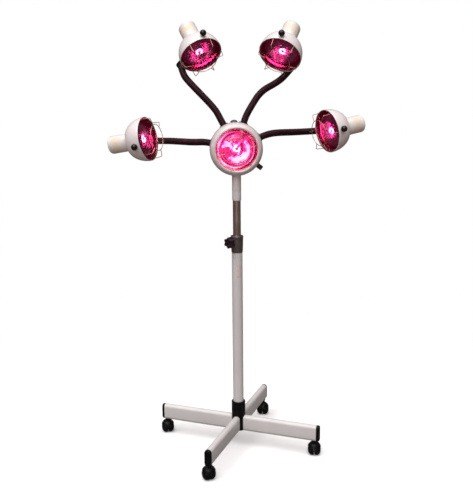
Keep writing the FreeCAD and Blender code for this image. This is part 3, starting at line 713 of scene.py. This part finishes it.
# ---- Bulbs ---------------------------------------------------------------------------------
# Blown reflector lamps of ruby glass.  The flat front is clear red with moulded rings, the rest
# is silvered inside to a paraboloid, and a C-shaped filament glows by its stem at the focus.
def ruby_glass(name, own_light):
    """Clear ruby glass with a slow drift of colour, and some light scattered in it."""
    made, tree, shader = new_finish(name, Transmission_Weight=1.0, IOR=1.45, Roughness=0.03,
                                    Emission_Strength=own_light)
    drift_into(tree, shader, 24.0, (0.92, 0.07, 0.33), (0.98, 0.11, 0.42), "Base Color", "Emission Color")
    return made


ruby_front, ruby_lit = ruby_glass("red_glass_front", 0.02), ruby_glass("red_glass_front_lit", 0.08)
# painted light: the silvering's faint patchy red emission stands in for the filament's glow it reflects
ruby_silvered, tree, shader = new_finish("red_glass_silvered", metal=1.0, Emission_Strength=0.06)
coat_with(tree, shader, (0.05, 0.036, 0.042), (0.095, 0.068, 0.08), 30.0, (70.0, 0.05, 0.10), (60.0, 0.0008))
drift_into(tree, shader, 34.0, (0.16, 0.002, 0.02), (0.70, 0.02, 0.16), "Emission Color")
filament, tree, shader = new_finish("filament_glow", Roughness=0.6, Emission_Strength=46.0)
drift_into(tree, shader, 160.0, (1.0, 0.62, 0.80), (1.0, 0.86, 0.95), "Emission Color", "Base Color")
brass_cap, tree, shader = new_finish("cap_brass", metal=1.0)
coat_with(tree, shader, (0.55, 0.38, 0.16), (0.68, 0.50, 0.24), 50.0, (90.0, 0.22, 0.4), (400.0, 0.00004))


MIRROR_FOCUS, MIRROR_POLE = 26, 64


def bulb_shells():
    """Grids of one bulb in a head's own frame: the front with low rings on it, the silvered
    back, the cap, the stem and the C-shaped filament.  Inside, the silvering is the paraboloid
    r^2 = 4 MIRROR_FOCUS (MIRROR_POLE - z) with a slight ripple, and a dark shoulder round it."""
    face_out = flowing([(0, 8.0), (15, 8.4), (30, 9.5), (44, 11.6), (50, 13.5), (60, 20.5), (62, 28.0)], 90)
    wide = face_out[:, 0] / MM
    face_out[:, 1] += 0.35 * MM * np.sin(wide * 2 * np.pi / 5.5) * (np.abs(wide - 27) < 20)
    face_in = flowing([(60.4, 28.0), (58.6, 21.4), (49.4, 15.0), (29.8, 11.1), (0, 9.6)], 50)
    back_out = flowing([(62, 28.0), (59, 37), (51, 47.5), (40, 57), (29, 65.5), (22.5, 74), (19, 84),
                        (18.5, 92), (18.5, 101)], 60)
    deep = np.linspace(62.0, 40.5, 60)
    bowl = np.sqrt(4 * MIRROR_FOCUS * (MIRROR_POLE - deep)) + 0.22 * np.sin(deep * 2 * np.pi / 3.3)
    back_in = np.vstack([flowing([(14.0, 100), (14.0, 80), (14.2, 64)], 8),
                         np.column_stack([bowl, deep]) * MM,
                         flowing([(51.5, 40), (55.5, 37.5), (58.6, 33.5), (60.4, 28.0)], 14)])
    cap = rounded([(0, 100.5, 0), (16.5, 100.5, 0.5), (13.2, 104, 0.5), (13.2, 130, 0.5), (0, 130, 0)])
    stem = rounded([(0, 42, 0), (2.2, 42, 1.2), (3.0, 60, 0), (8, 84, 0), (13, 99, 0), (0, 99, 0)])
    a = np.radians(np.concatenate([[-20.0, -20.0], np.linspace(-19, 279, 70), [280.0, 280.0]]))[:, None]
    b = np.linspace(0, 2 * np.pi, 16, endpoint=False)
    thick = 3.1 * np.concatenate([[0, 0.8], np.ones(70), [0.8, 0]])[:, None]
    coil_r = 8.6 + thick * np.cos(b)
    coil = np.stack([coil_r * np.cos(a) + 1.5, coil_r * np.sin(a) - 2.5, 39 + thick * np.sin(b)], -1) * MM
    return [(turned(np.vstack([face_out, face_in]), 120), True, 0),
            (turned(np.vstack([back_out, back_in]), 120), True, 1),
            (turned(cap, 64), True, 3), (turned(stem, 40), True, 1), (coil, False, 2)]


BULB_FINISH = [ruby_front, ruby_silvered, filament, brass_cap]
mouth_centre = dome_centre + np.array(dome_back) * -34 * MM
# in the central lamp the silvering carries painted light: broken glowing patches stand in for the
# filament's reflection, brighter low on the right where its light falls
silvering_painted_glow, tree, shader = new_finish("red_glass_silvered_lit", metal=1.0, Emission_Strength=13.0)
coat_with(tree, shader, (0.025, 0.012, 0.016), (0.045, 0.022, 0.030), 30.0, (70.0, 0.05, 0.10),
          (60.0, 0.0008))
place = (node(tree, "ShaderNodeTexCoord"), "Object")
inward = node(tree, "ShaderNodeVectorMath", {"operation": "SUBTRACT"}, _0=place,
              _1=tuple(map(float, mouth_centre)))
low_right = node(tree, "ShaderNodeVectorMath", {"operation": "DOT_PRODUCT"}, _0=(inward, "Vector"),
                 _1=tuple(map(float, np.array(dome_right) * 0.64 - np.array([0, 0, 0.77]))))
painted_glow_crescent = node(tree, "ShaderNodeMapRange", {"interpolation_type": "SMOOTHSTEP"}, Value=(low_right, "Value"),
                From_Min=0.012, From_Max=0.034, To_Min=0.0, To_Max=0.22)
off_axis = node(tree, "ShaderNodeVectorMath", {"operation": "CROSS_PRODUCT"}, _0=(inward, "Vector"),
                _1=tuple(map(float, dome_back)))
spread = node(tree, "ShaderNodeVectorMath", {"operation": "LENGTH"}, _0=(off_axis, "Vector"))
outer = node(tree, "ShaderNodeMapRange", {"interpolation_type": "SMOOTHSTEP"}, Value=(spread, "Value"),
             From_Min=0.040, From_Max=0.047, To_Min=0.0, To_Max=-0.5)
painted_glow_patches = node(tree, "ShaderNodeTexNoise", Vector=place, Scale=42.0, Detail=1.5, Distortion=1.2)
inner = node(tree, "ShaderNodeMath", {"operation": "ADD"}, _0=(painted_glow_patches, "Fac"), _1=(painted_glow_crescent, "Result"))
level = node(tree, "ShaderNodeMath", {"operation": "ADD"}, _0=(inner, "Value"), _1=(outer, "Result"))
lit = ramp(tree, (level, "Value"), (0.46, (0.012, 0.0, 0.002)), (0.56, (0.10, 0.02, 0.04)),
           (0.64, (0.85, 0.70, 0.75)))
tree.links.new(lit.outputs["Color"], shader.inputs["Emission Color"])
central_bulb = new_piece("lamp_glass", placed(bulb_shells(), mouth_centre, dome_right, dome_back),
                         [ruby_lit, silvering_painted_glow, filament, brass_cap])
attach(central_bulb, "lamp")
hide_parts("dome_bulb")

# ---- Lampholders ---------------------------------------------------------------------------
# Glazed porcelain sockets screwed inside the lamp body and the socket covers.  They stay
# hidden, so the frame's own solids show them.
porcelain, tree, shader = new_finish("porcelain", Specular_IOR_Level=0.6, Coat_Weight=0.8,
                                     Coat_Roughness=0.05)
coat_with(tree, shader, (0.72, 0.70, 0.66), (0.78, 0.76, 0.72), 20.0, (30.0, 0.12, 0.22), (200.0, 0.00003))
for key in ["dome_lampholder"] + ["lampholder_" + name for name in PORT_ANGLE]:
    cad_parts[key].data.materials.clear()
    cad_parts[key].data.materials.append(porcelain)

# ---- Wire guard of the central lamp ---------------------------------------------------------
# Spring-steel wire with a warm coppery finish: a hoop inside the mouth, six bent legs that
# reach forward, and a smaller ring in front that they are welded to.
WIRE_R, GUARD_OUT, GUARD_RING, GUARD_LEAN = 1.2, 30.0, 45.0, 3.5
guard_wire, tree, shader = new_finish("guard_wire", metal=1.0)
coat_with(tree, shader, (0.46, 0.27, 0.20), (0.60, 0.38, 0.30), 50.0, (150.0, 0.22, 0.40), (600.0, 0.00004))


def carried(route, radius, side_of, sides=12, ends=True):
    """A round bar along a route: at each station a circle of the radius lies across the route's
    direction, laid out from the cross products with one fixed way."""
    ahead = np.gradient(route, axis=0)
    ahead /= np.linalg.norm(ahead, axis=1, keepdims=True)
    x = np.cross(ahead, side_of)
    x /= np.linalg.norm(x, axis=1, keepdims=True)
    y = np.cross(ahead, x)
    a = np.linspace(0, 2 * np.pi, sides, endpoint=False)
    r = np.broadcast_to(np.asarray(radius, float), (len(route), sides))[..., None]
    x, y = x[:, None], y[:, None]
    c, s = np.cos(a)[None, :, None], np.sin(a)[None, :, None]
    grid = route[:, None] + r * (x * c + y * s)
    if ends:
        close = np.broadcast_to(route[[0, -1]][:, None], (2, sides, 3))
        grid = np.vstack([close[:1], grid, close[1:]])
    return grid


def hoop(radius, z, sides=120):
    """A wire circle about +Z."""
    a = np.linspace(0, 2 * np.pi, sides, endpoint=False)[:, None]
    b = np.linspace(0, 2 * np.pi, 12, endpoint=False)
    r = radius + WIRE_R * np.cos(b)
    return np.stack([r * np.cos(a), r * np.sin(a), z + WIRE_R * np.sin(b) + 0 * a], -1) * MM


def guard_shells(radius, seat, turn):
    """Grids of one guard in a head's own frame: two hoops, and six bent legs spaced evenly."""
    shells = [(hoop(radius, seat), True, 0), (hoop(GUARD_RING, -GUARD_OUT - 4), True, 0)]
    for k in range(6):
        c, s = math.cos(math.radians(60 * k + turn)), math.sin(math.radians(60 * k + turn))
        knots = [(radius * c, radius * s, seat + 1, 0), (radius * c, radius * s, seat - 1, 0),
                 ((radius - GUARD_LEAN) * c, (radius - GUARD_LEAN) * s, -GUARD_OUT - 0.6, 4.5),
                 ((GUARD_RING + 1) * c, (GUARD_RING + 1) * s, -GUARD_OUT - 4, 0),
                 ((GUARD_RING - 1.5) * c, (GUARD_RING - 1.5) * s, -GUARD_OUT - 4.1, 0)]
        bent = rounded(knots, 7)
        bent = bent[[0, 7] + list(range(14, 21)) + [21, 28]]
        shells.append((carried(bent, WIRE_R * MM, (-s, c, 0.001), 10), False, 0))
    return shells


seated = guard_shells(MOUTH_R - 1.8, 2, 46)
central_guard = new_piece("lamp_wire_guard", placed(seated, mouth_centre, dome_right, dome_back),
                          [guard_wire])
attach(central_guard, "lamp")
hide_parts("dome_guard")

# ---- Fittings of the lamp body: arm nuts, port plug, cord gland --------------------------------
# Black moulded nuts hold the arms in their bosses, a dark domed plug closes the spare port at
# the top, and a ribbed gland at the back takes the mains cord.
def ribbed(outline, ribs, depth, sides):
    """Surface of revolution with ribs: where the radius is over 5 mm it falls by a depth in mm
    between them, as the cosine of ribs times the angle."""
    grid = turned(outline, sides)
    a = np.linspace(0, 2 * np.pi, sides, endpoint=False)
    radius = outline[:, :1]
    wave = 1 - depth * MM * (0.5 - 0.5 * np.cos(ribs * a)) / np.maximum(radius, 1e-4) * (radius > 0.005)
    grid[..., :2] *= wave[..., None]
    return grid


nut = ribbed(rounded([(ARM_R + 0.2, PORT_SEAT + 0.1, 0), (17, PORT_SEAT + 0.1, 0.5),
                      (17, PORT_SEAT + 4.5, 0.8),
                      (14.4, PORT_SEAT + 7, 1.2), (ARM_R + 0.2, PORT_SEAT + 7, 0.3)]), 24, 0.5, 192)
nut_shells = []
for angle in PORT_ANGLE.values():
    nut_shells.append((set_at(nut, port_centre, (0, 1, 0), upright_way(angle)), True, 0))
nuts = new_piece("arm_ring_nuts", nut_shells, [black_plastic])
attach(nuts, "lamp")
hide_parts("arm_nuts")

plug_dark, tree, shader = new_finish("plug_dark", Specular_IOR_Level=0.5)
coat_with(tree, shader, (0.035, 0.036, 0.036), (0.060, 0.060, 0.058), 40.0, (50.0, 0.32, 0.48),
          (700.0, 0.00008), rub=((0.25, 0.25, 0.24), 0.7))
plug = turned(rounded([(0, 82, 0), (8, 82, 0.5), (8, 91.6, 0), (13, 91.6, 0.4), (12.9, 92.6, 0.4),
                       (11.4, 95, 1.5), (7.2, 98.2, 3), (0, 99.5, 0)], 8), 72)
plug_shell = set_at(plug, np.array([0, 8, DOME_Z]) * MM, (0, 1, 0), upright_way(94.5))
port_plug = new_piece("lamp_top_plug", [(plug_shell, True, 0)], [plug_dark])
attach(port_plug, "lamp")
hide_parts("port_plug")

gland = ribbed(rounded([(4.2, -10, 0.3), (7.5, -10, 0.5), (7.5, 0, 0), (11, 0.1, 0.6), (11, 7, 0.8),
                        (9.2, 8.2, 0.5), (8.6, 15, 1.6), (4.2, 16, 0.6)]), 12, 0.9, 144)
gland = set_at(gland, np.array([0, 32, DOME_BACK]) * MM, (1, 0, 0), (0, 0, 1))
cord_gland = new_piece("lamp_cord_gland", [(set_at(gland, dome_centre, dome_right, dome_back), True, 0)],
                       [black_plastic])
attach(cord_gland, "lamp")
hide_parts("cord_gland")

# ---- Power knob ----------------------------------------------------------------------------
# A small dark plum knurled knob on a short shaft, low on the right of the lamp body.
knurled = ribbed(rounded([(0, 80, 0), (3, 80, 0), (3, 92.6, 0), (8.0, 92.7, 0.8), (8.5, 96, 0.5),
                          (8.4, 109.5, 0.8),
                          (7.2, 112, 1.6), (5.6, 111.9, 0.5), (5.0, 111.3, 0.4), (0, 111.2, 0)]), 22,
                          0.5, 176)
knob_plum, tree, shader = new_finish("knob_plum", Specular_IOR_Level=0.3)
coat_with(tree, shader, (0.05, 0.008, 0.018), (0.08, 0.012, 0.028), 40.0, (60.0, 0.3, 0.45), (700.0, 0.00006),
          rub=((0.14, 0.04, 0.06), 0.4))
knob_shell = set_at(knurled, np.array([0, 12, DOME_Z]) * MM, (0, 1, 0), upright_way(-38))
power_knob = new_piece("lamp_power_knob", [(knob_shell, True, 0)], [knob_plum])
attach(power_knob, "power_switch")
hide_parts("power_knob")

# ---- Gooseneck arms ------------------------------------------------------------------------
# Flexible arms: a steel spring core in a tight black spiral jacket, seated in the lamp body at
# one end and in a black swivel knuckle behind each hood at the other.  Each bends by hand.
PIVOT_S, PIVOT_OUT, RIB_PITCH = 46.0, 92.0, 4.6
HEADS = {
    "upper_left": dict(rim=(-119, 103, 1409), face=(0.369, -0.623, -0.689), pivot=-68, ball=147, guard=45,
                       via=[(-71, 38, 1227), (-129, 51, 1287), (-171, 95, 1328)]),
    "upper_right": dict(rim=(153, 77, 1406), face=(-0.337, -0.646, -0.685), pivot=265, ball=203, guard=4,
                        via=[(51, 41, 1232), (86, 61, 1285), (147, 115, 1315)]),
    "side_left": dict(rim=(-303, 20, 1129), face=(0.929, -0.327, 0.172), pivot=184, ball=163, guard=10,
                      via=[(-150, 52, 1113), (-226, 95, 1115)]),
    "side_right": dict(rim=(320, 83, 1145), face=(-0.883, -0.442, -0.157), pivot=-7, ball=180, guard=7,
                       via=[(136, 50, 1144), (213, 128, 1140)]),
}

# painted light: the jacket's plum tint, in its base, dust and rubbed colours, stands in for red glow from the
# lamps
gooseneck, tree, shader = new_finish("gooseneck", Specular_IOR_Level=0.12)
coat_with(tree, shader, (0.014, 0.0035, 0.005), (0.030, 0.007, 0.012), 25.0, (45.0, 0.32, 0.48),
          (800.0, 0.00005), dust=((0.09, 0.05, 0.055), 0.08), rub=((0.05, 0.025, 0.028), 0.2))


def head_frame(info):
    """The rim centre, the way to the pivot and the way out of the back of one head, as unit ways:
    the pivot way is the level way turned by the pivot angle about the head's axis."""
    z = -np.array(info["face"], float)
    z /= np.linalg.norm(z)
    level = np.cross((0, 0, 1), z)
    level /= np.linalg.norm(level)
    turn = math.radians(info["pivot"])
    return np.array(info["rim"], float) * MM, level * math.cos(turn) + np.cross(z, level) * math.sin(turn), z


def arm_knots(name):
    """Route of one arm in mm: out of its port, through its bends, and into the knuckle."""
    info = HEADS[name]
    rim, across, back = head_frame(info)
    pivot = rim / MM + across * PIVOT_OUT + back * PIVOT_S
    arrive = pivot - info["via"][-1]
    arrive -= across * np.dot(arrive, across)
    arrive /= np.linalg.norm(arrive)
    out = np.array(upright_way(PORT_ANGLE[name]))
    root = np.array([0, PORT_Y, DOME_Z])
    return np.array([root + out * 72, root + out * 112, *info["via"], pivot - arrive * 52, pivot])


def ribbed_tube(knots):
    """A spiral-jacketed tube: the route's corners are rounded, stations are spaced evenly by
    length, and the radius is 11.55 + 0.45 cos(2 pi length / pitch - angle), domed at its end."""
    table = np.column_stack([knots, [0] + [400] * (len(knots) - 2) + [0]])
    line = rounded(table, 40)
    line = line[40 - 1:len(line) - 39]
    step = np.linalg.norm(np.diff(line, axis=0), axis=1)
    line = line[np.concatenate([[True], step > 1e-7])]
    length = np.concatenate([[0], np.cumsum(np.linalg.norm(np.diff(line, axis=0), axis=1))])
    at = np.arange(0, length[-1], RIB_PITCH * MM / 8)
    even = np.stack([np.interp(at, length, line[:, i]) for i in range(3)], -1)
    a = np.linspace(0, 2 * np.pi, 32, endpoint=False)
    wave = np.cos(2 * np.pi * at[:, None] / (RIB_PITCH * MM) - a)
    past = np.clip((at - (at[-1] - 9 * MM)) / (9 * MM), 0, 1)[:, None]
    return carried(even, (ARM_R - 0.45 + 0.45 * wave) * MM * np.sqrt(1 - 0.75 * past ** 2),
                   (0.05, 1.0, 0.1), 32)


for name, info in HEADS.items():
    knots = arm_knots(name)
    rim, across, back = head_frame(info)
    arm = new_piece("gooseneck_" + name, [(ribbed_tube(knots), False, 0)], [gooseneck], 60.0)
    bend, along = (knots[2] + knots[3]) / 2 * MM, knots[3] - knots[2]
    along /= np.linalg.norm(along)
    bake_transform(arm)
    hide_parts("arm_roots", "arm_" + name)
    knuckle = turned(rounded([(4.1, 78.5, 0.2), (13, 78.5, 1.2), (13, 84, 0.2), (12.5, 84.4, 0.2),
                              (12.5, 85.2, 0.2),
                              (13, 85.6, 0.2), (12.6, 104, 11.0), (3.5, 104, 0.4), (0, 104, 0), (0, 102, 0),
                              (4.1, 102, 0)], 10), 72)
    knuckle = set_at(knuckle, rim + back * PIVOT_S * MM, back, across)
    joint = new_piece("arm_knuckle_" + name, [(knuckle, True, 0)], [black_plastic])
    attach(joint, "arm_" + name)
    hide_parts("arm_" + name)

# ---- Bell hoods ----------------------------------------------------------------------------
# Spun metal bells with a rolled rim, enamelled white outside and glossy inside, where the dark
# plum-red colour is a painted reflection of the red bulb with a faint painted glow.  A pad and a
# steel stud on the side carry each one in its arm's knuckle.
RIM_R, NECK_R, BELL_DEEP = 76.0, 32.0, 70.0

hood_enamel, tree, shader = new_finish("hood_enamel", Specular_IOR_Level=0.6, Coat_Weight=0.5,
                                       Coat_Roughness=0.10)
coat_with(tree, shader, (0.80, 0.745, 0.745), (0.87, 0.82, 0.815), 12.0, (26.0, 0.24, 0.36), (380.0, 0.00008),
          dust=((0.55, 0.50, 0.47), 0.08))
# painted light: the plum-red base colour and faint red emission stand in for the bulb's reflected glow
hood_lining_painted_glow, tree, shader = new_finish("hood_lining_painted_glow", metal=0.85, Emission_Strength=0.05)
coat_with(tree, shader, (0.16, 0.03, 0.05), (0.24, 0.05, 0.08), 30.0, (60.0, 0.16, 0.30), (220.0, 0.00006))
drift_into(tree, shader, 22.0, (0.30, 0.004, 0.03), (0.60, 0.02, 0.11), "Emission Color")


def bell(radius, neck, deep, count):
    """Quarter-ellipse profile from rim to neck: r = neck + (radius - neck) cos a, z = deep sin a."""
    a = np.linspace(0, math.pi / 2, count)
    return np.stack([neck + (radius - neck) * np.cos(a), deep * np.sin(a)], -1) * MM


for name, info in HEADS.items():
    rim, across, back = head_frame(info)
    outside = bell(RIM_R, NECK_R, BELL_DEEP, 44)
    inside = bell(RIM_R - 1.5, NECK_R - 3.5, BELL_DEEP - 1.5, 40)
    lip = rounded([(RIM_R - 1.5, 0.8, 0.4), (RIM_R - 1.2, 0.0, 0.5), (RIM_R - 0.2, 0.0, 0.5),
                   (RIM_R, 0.8, 0.4)], 5)
    skin = np.vstack([lip, outside[1:], rounded([(28.8, BELL_DEEP, 0.2), (28.8, 82, 0.4), (27.9, 82, 0.2)])])
    lining = np.vstack([[(27.9 * MM, 82 * MM)], rounded([(27, 82, 0.2), (27, 68.6, 0.2)]), inside[:0:-1]])
    # the two skins share their first and last rings, so they merge into one closed shell
    lining = np.vstack([lining, lip[:1]])
    pad = turned(rounded([(0, 60, 0), (11, 60, 0), (11, 78, 1.4), (0, 78, 0)]), 64)
    stud = turned(rounded([(0, 76, 0), (4, 76, 0), (4, 101, 0.8), (0, 101, 0)]), 40)
    side = rim + back * PIVOT_S * MM
    hood = new_piece("bell_hood_" + name, [
        (set_at(turned(skin, 144), rim, across, back), False, 0),
        (set_at(turned(lining, 144), rim, across, back), False, 1),
        (set_at(pad, side, back, across), True, 0), (set_at(stud, side, back, across), True, 2)],
        [hood_enamel, hood_lining_painted_glow, bright_steel])
    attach(hood, "head_" + name)
    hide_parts("hood_" + name)

# ---- Socket covers -------------------------------------------------------------------------
# Deep white cups over the lampholders, turned in by a soft radius at the end, with a shallow
# round recess in the end and a blank cream label round the side that faces forward.
COVER_R, COVER_END = 31.0, 145.0

cover_white, tree, shader = new_finish("cover_white", Specular_IOR_Level=0.5, Coat_Weight=0.35,
                                       Coat_Roughness=0.15)
coat_with(tree, shader, (0.76, 0.72, 0.69), (0.82, 0.785, 0.76), 14.0, (26.0, 0.26, 0.40), (380.0, 0.00008),
          dust=((0.50, 0.45, 0.40), 0.10))
cream_label, tree, shader = new_finish("cream_label", Specular_IOR_Level=0.35)
coat_with(tree, shader, (0.78, 0.66, 0.52), (0.84, 0.72, 0.60), 45.0, (90.0, 0.38, 0.52), (1500.0, 0.00004))

cover_outline = rounded([(29.4, BELL_DEEP, 0.2), (COVER_R, BELL_DEEP, 0.5), (COVER_R, 104, 0),
                         (COVER_R, COVER_END, 7.5),
                         (22, COVER_END, 0.5), (21, COVER_END - 0.8, 0.5), (8, COVER_END - 0.8, 0.5),
                         (7, COVER_END, 0.5),
                         (0, COVER_END, 0), (0, COVER_END - 2.4, 0), (20, COVER_END - 2.6, 3),
                         (29.4, COVER_END - 7, 4)], 10)
for name, info in HEADS.items():
    rim, across, back = head_frame(info)
    up = np.cross(back, across)
    front = math.degrees(math.atan2(np.dot((0, -1, 0), up), np.dot((0, -1, 0), across)))
    cover = new_piece("socket_cup_" + name, [(set_at(turned(cover_outline), rim, across, back), True, 0)],
                      [cover_white])
    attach(cover, "head_" + name)
    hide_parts("socket_cover_" + name)
    label = new_piece("cup_label_" + name,
                      [(set_at(curved_label(COVER_R, front, 104, 94, 130), rim, across, back), False, 0)],
                      [cream_label])
    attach(label, "head_" + name)

# ---- Bulbs and guards of the heads ----------------------------------------------------------
# The same ruby lamp sits in each bell, screwed into its lampholder, and a wire guard is sprung
# into the rim in front of it.
for name, info in HEADS.items():
    rim, across, back = head_frame(info)
    glass = new_piece("bell_glass_" + name, placed(bulb_shells(), rim, across, back), BULB_FINISH)
    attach(glass, "head_" + name)
    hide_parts("bulb_" + name)
    seated = guard_shells(RIM_R - 1.5 - WIRE_R - 0.1, 4, info["guard"])
    wires = new_piece("bell_wire_guard_" + name, placed(seated, rim, across, back), [guard_wire])
    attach(wires, "head_" + name)
    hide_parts("guard_" + name)

# ---- Ball knobs ----------------------------------------------------------------------------
# Glossy black phenolic balls on short stems, screwed to the side of each bell to aim it by.
# painted reflection: the faint plum tint of the black stands in for the red glow the balls reflect
ball_black, tree, shader = new_finish("ball_black", Specular_IOR_Level=0.32, Coat_Weight=0.15,
                                      Coat_Roughness=0.05)
coat_with(tree, shader, (0.008, 0.003, 0.005), (0.014, 0.005, 0.009), 30.0, (40.0, 0.12, 0.20),
          (500.0, 0.00002))
ball_line = [(11.3 * math.sin(t), 87 - 11.3 * math.cos(t))
             for t in np.linspace(math.asin(5 / 11.3), math.pi, 36)]
ball_outline = np.vstack([rounded([(0, 73, 0), (4, 73, 0), (4, 76.6, 0.4), (5, 77, 0.3)]),
                          np.array(ball_line) * MM])
for name, info in HEADS.items():
    rim, across, back = head_frame(info)
    turn = math.radians(info["ball"])
    out = across * math.cos(turn) + np.cross(back, across) * math.sin(turn)
    ball_shell = set_at(turned(ball_outline, 72), rim + back * 15 * MM, back, out)
    ball = new_piece("aiming_ball_" + name, [(ball_shell, True, 0)], [ball_black])
    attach(ball, "head_" + name)
    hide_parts("ball_knob_" + name)
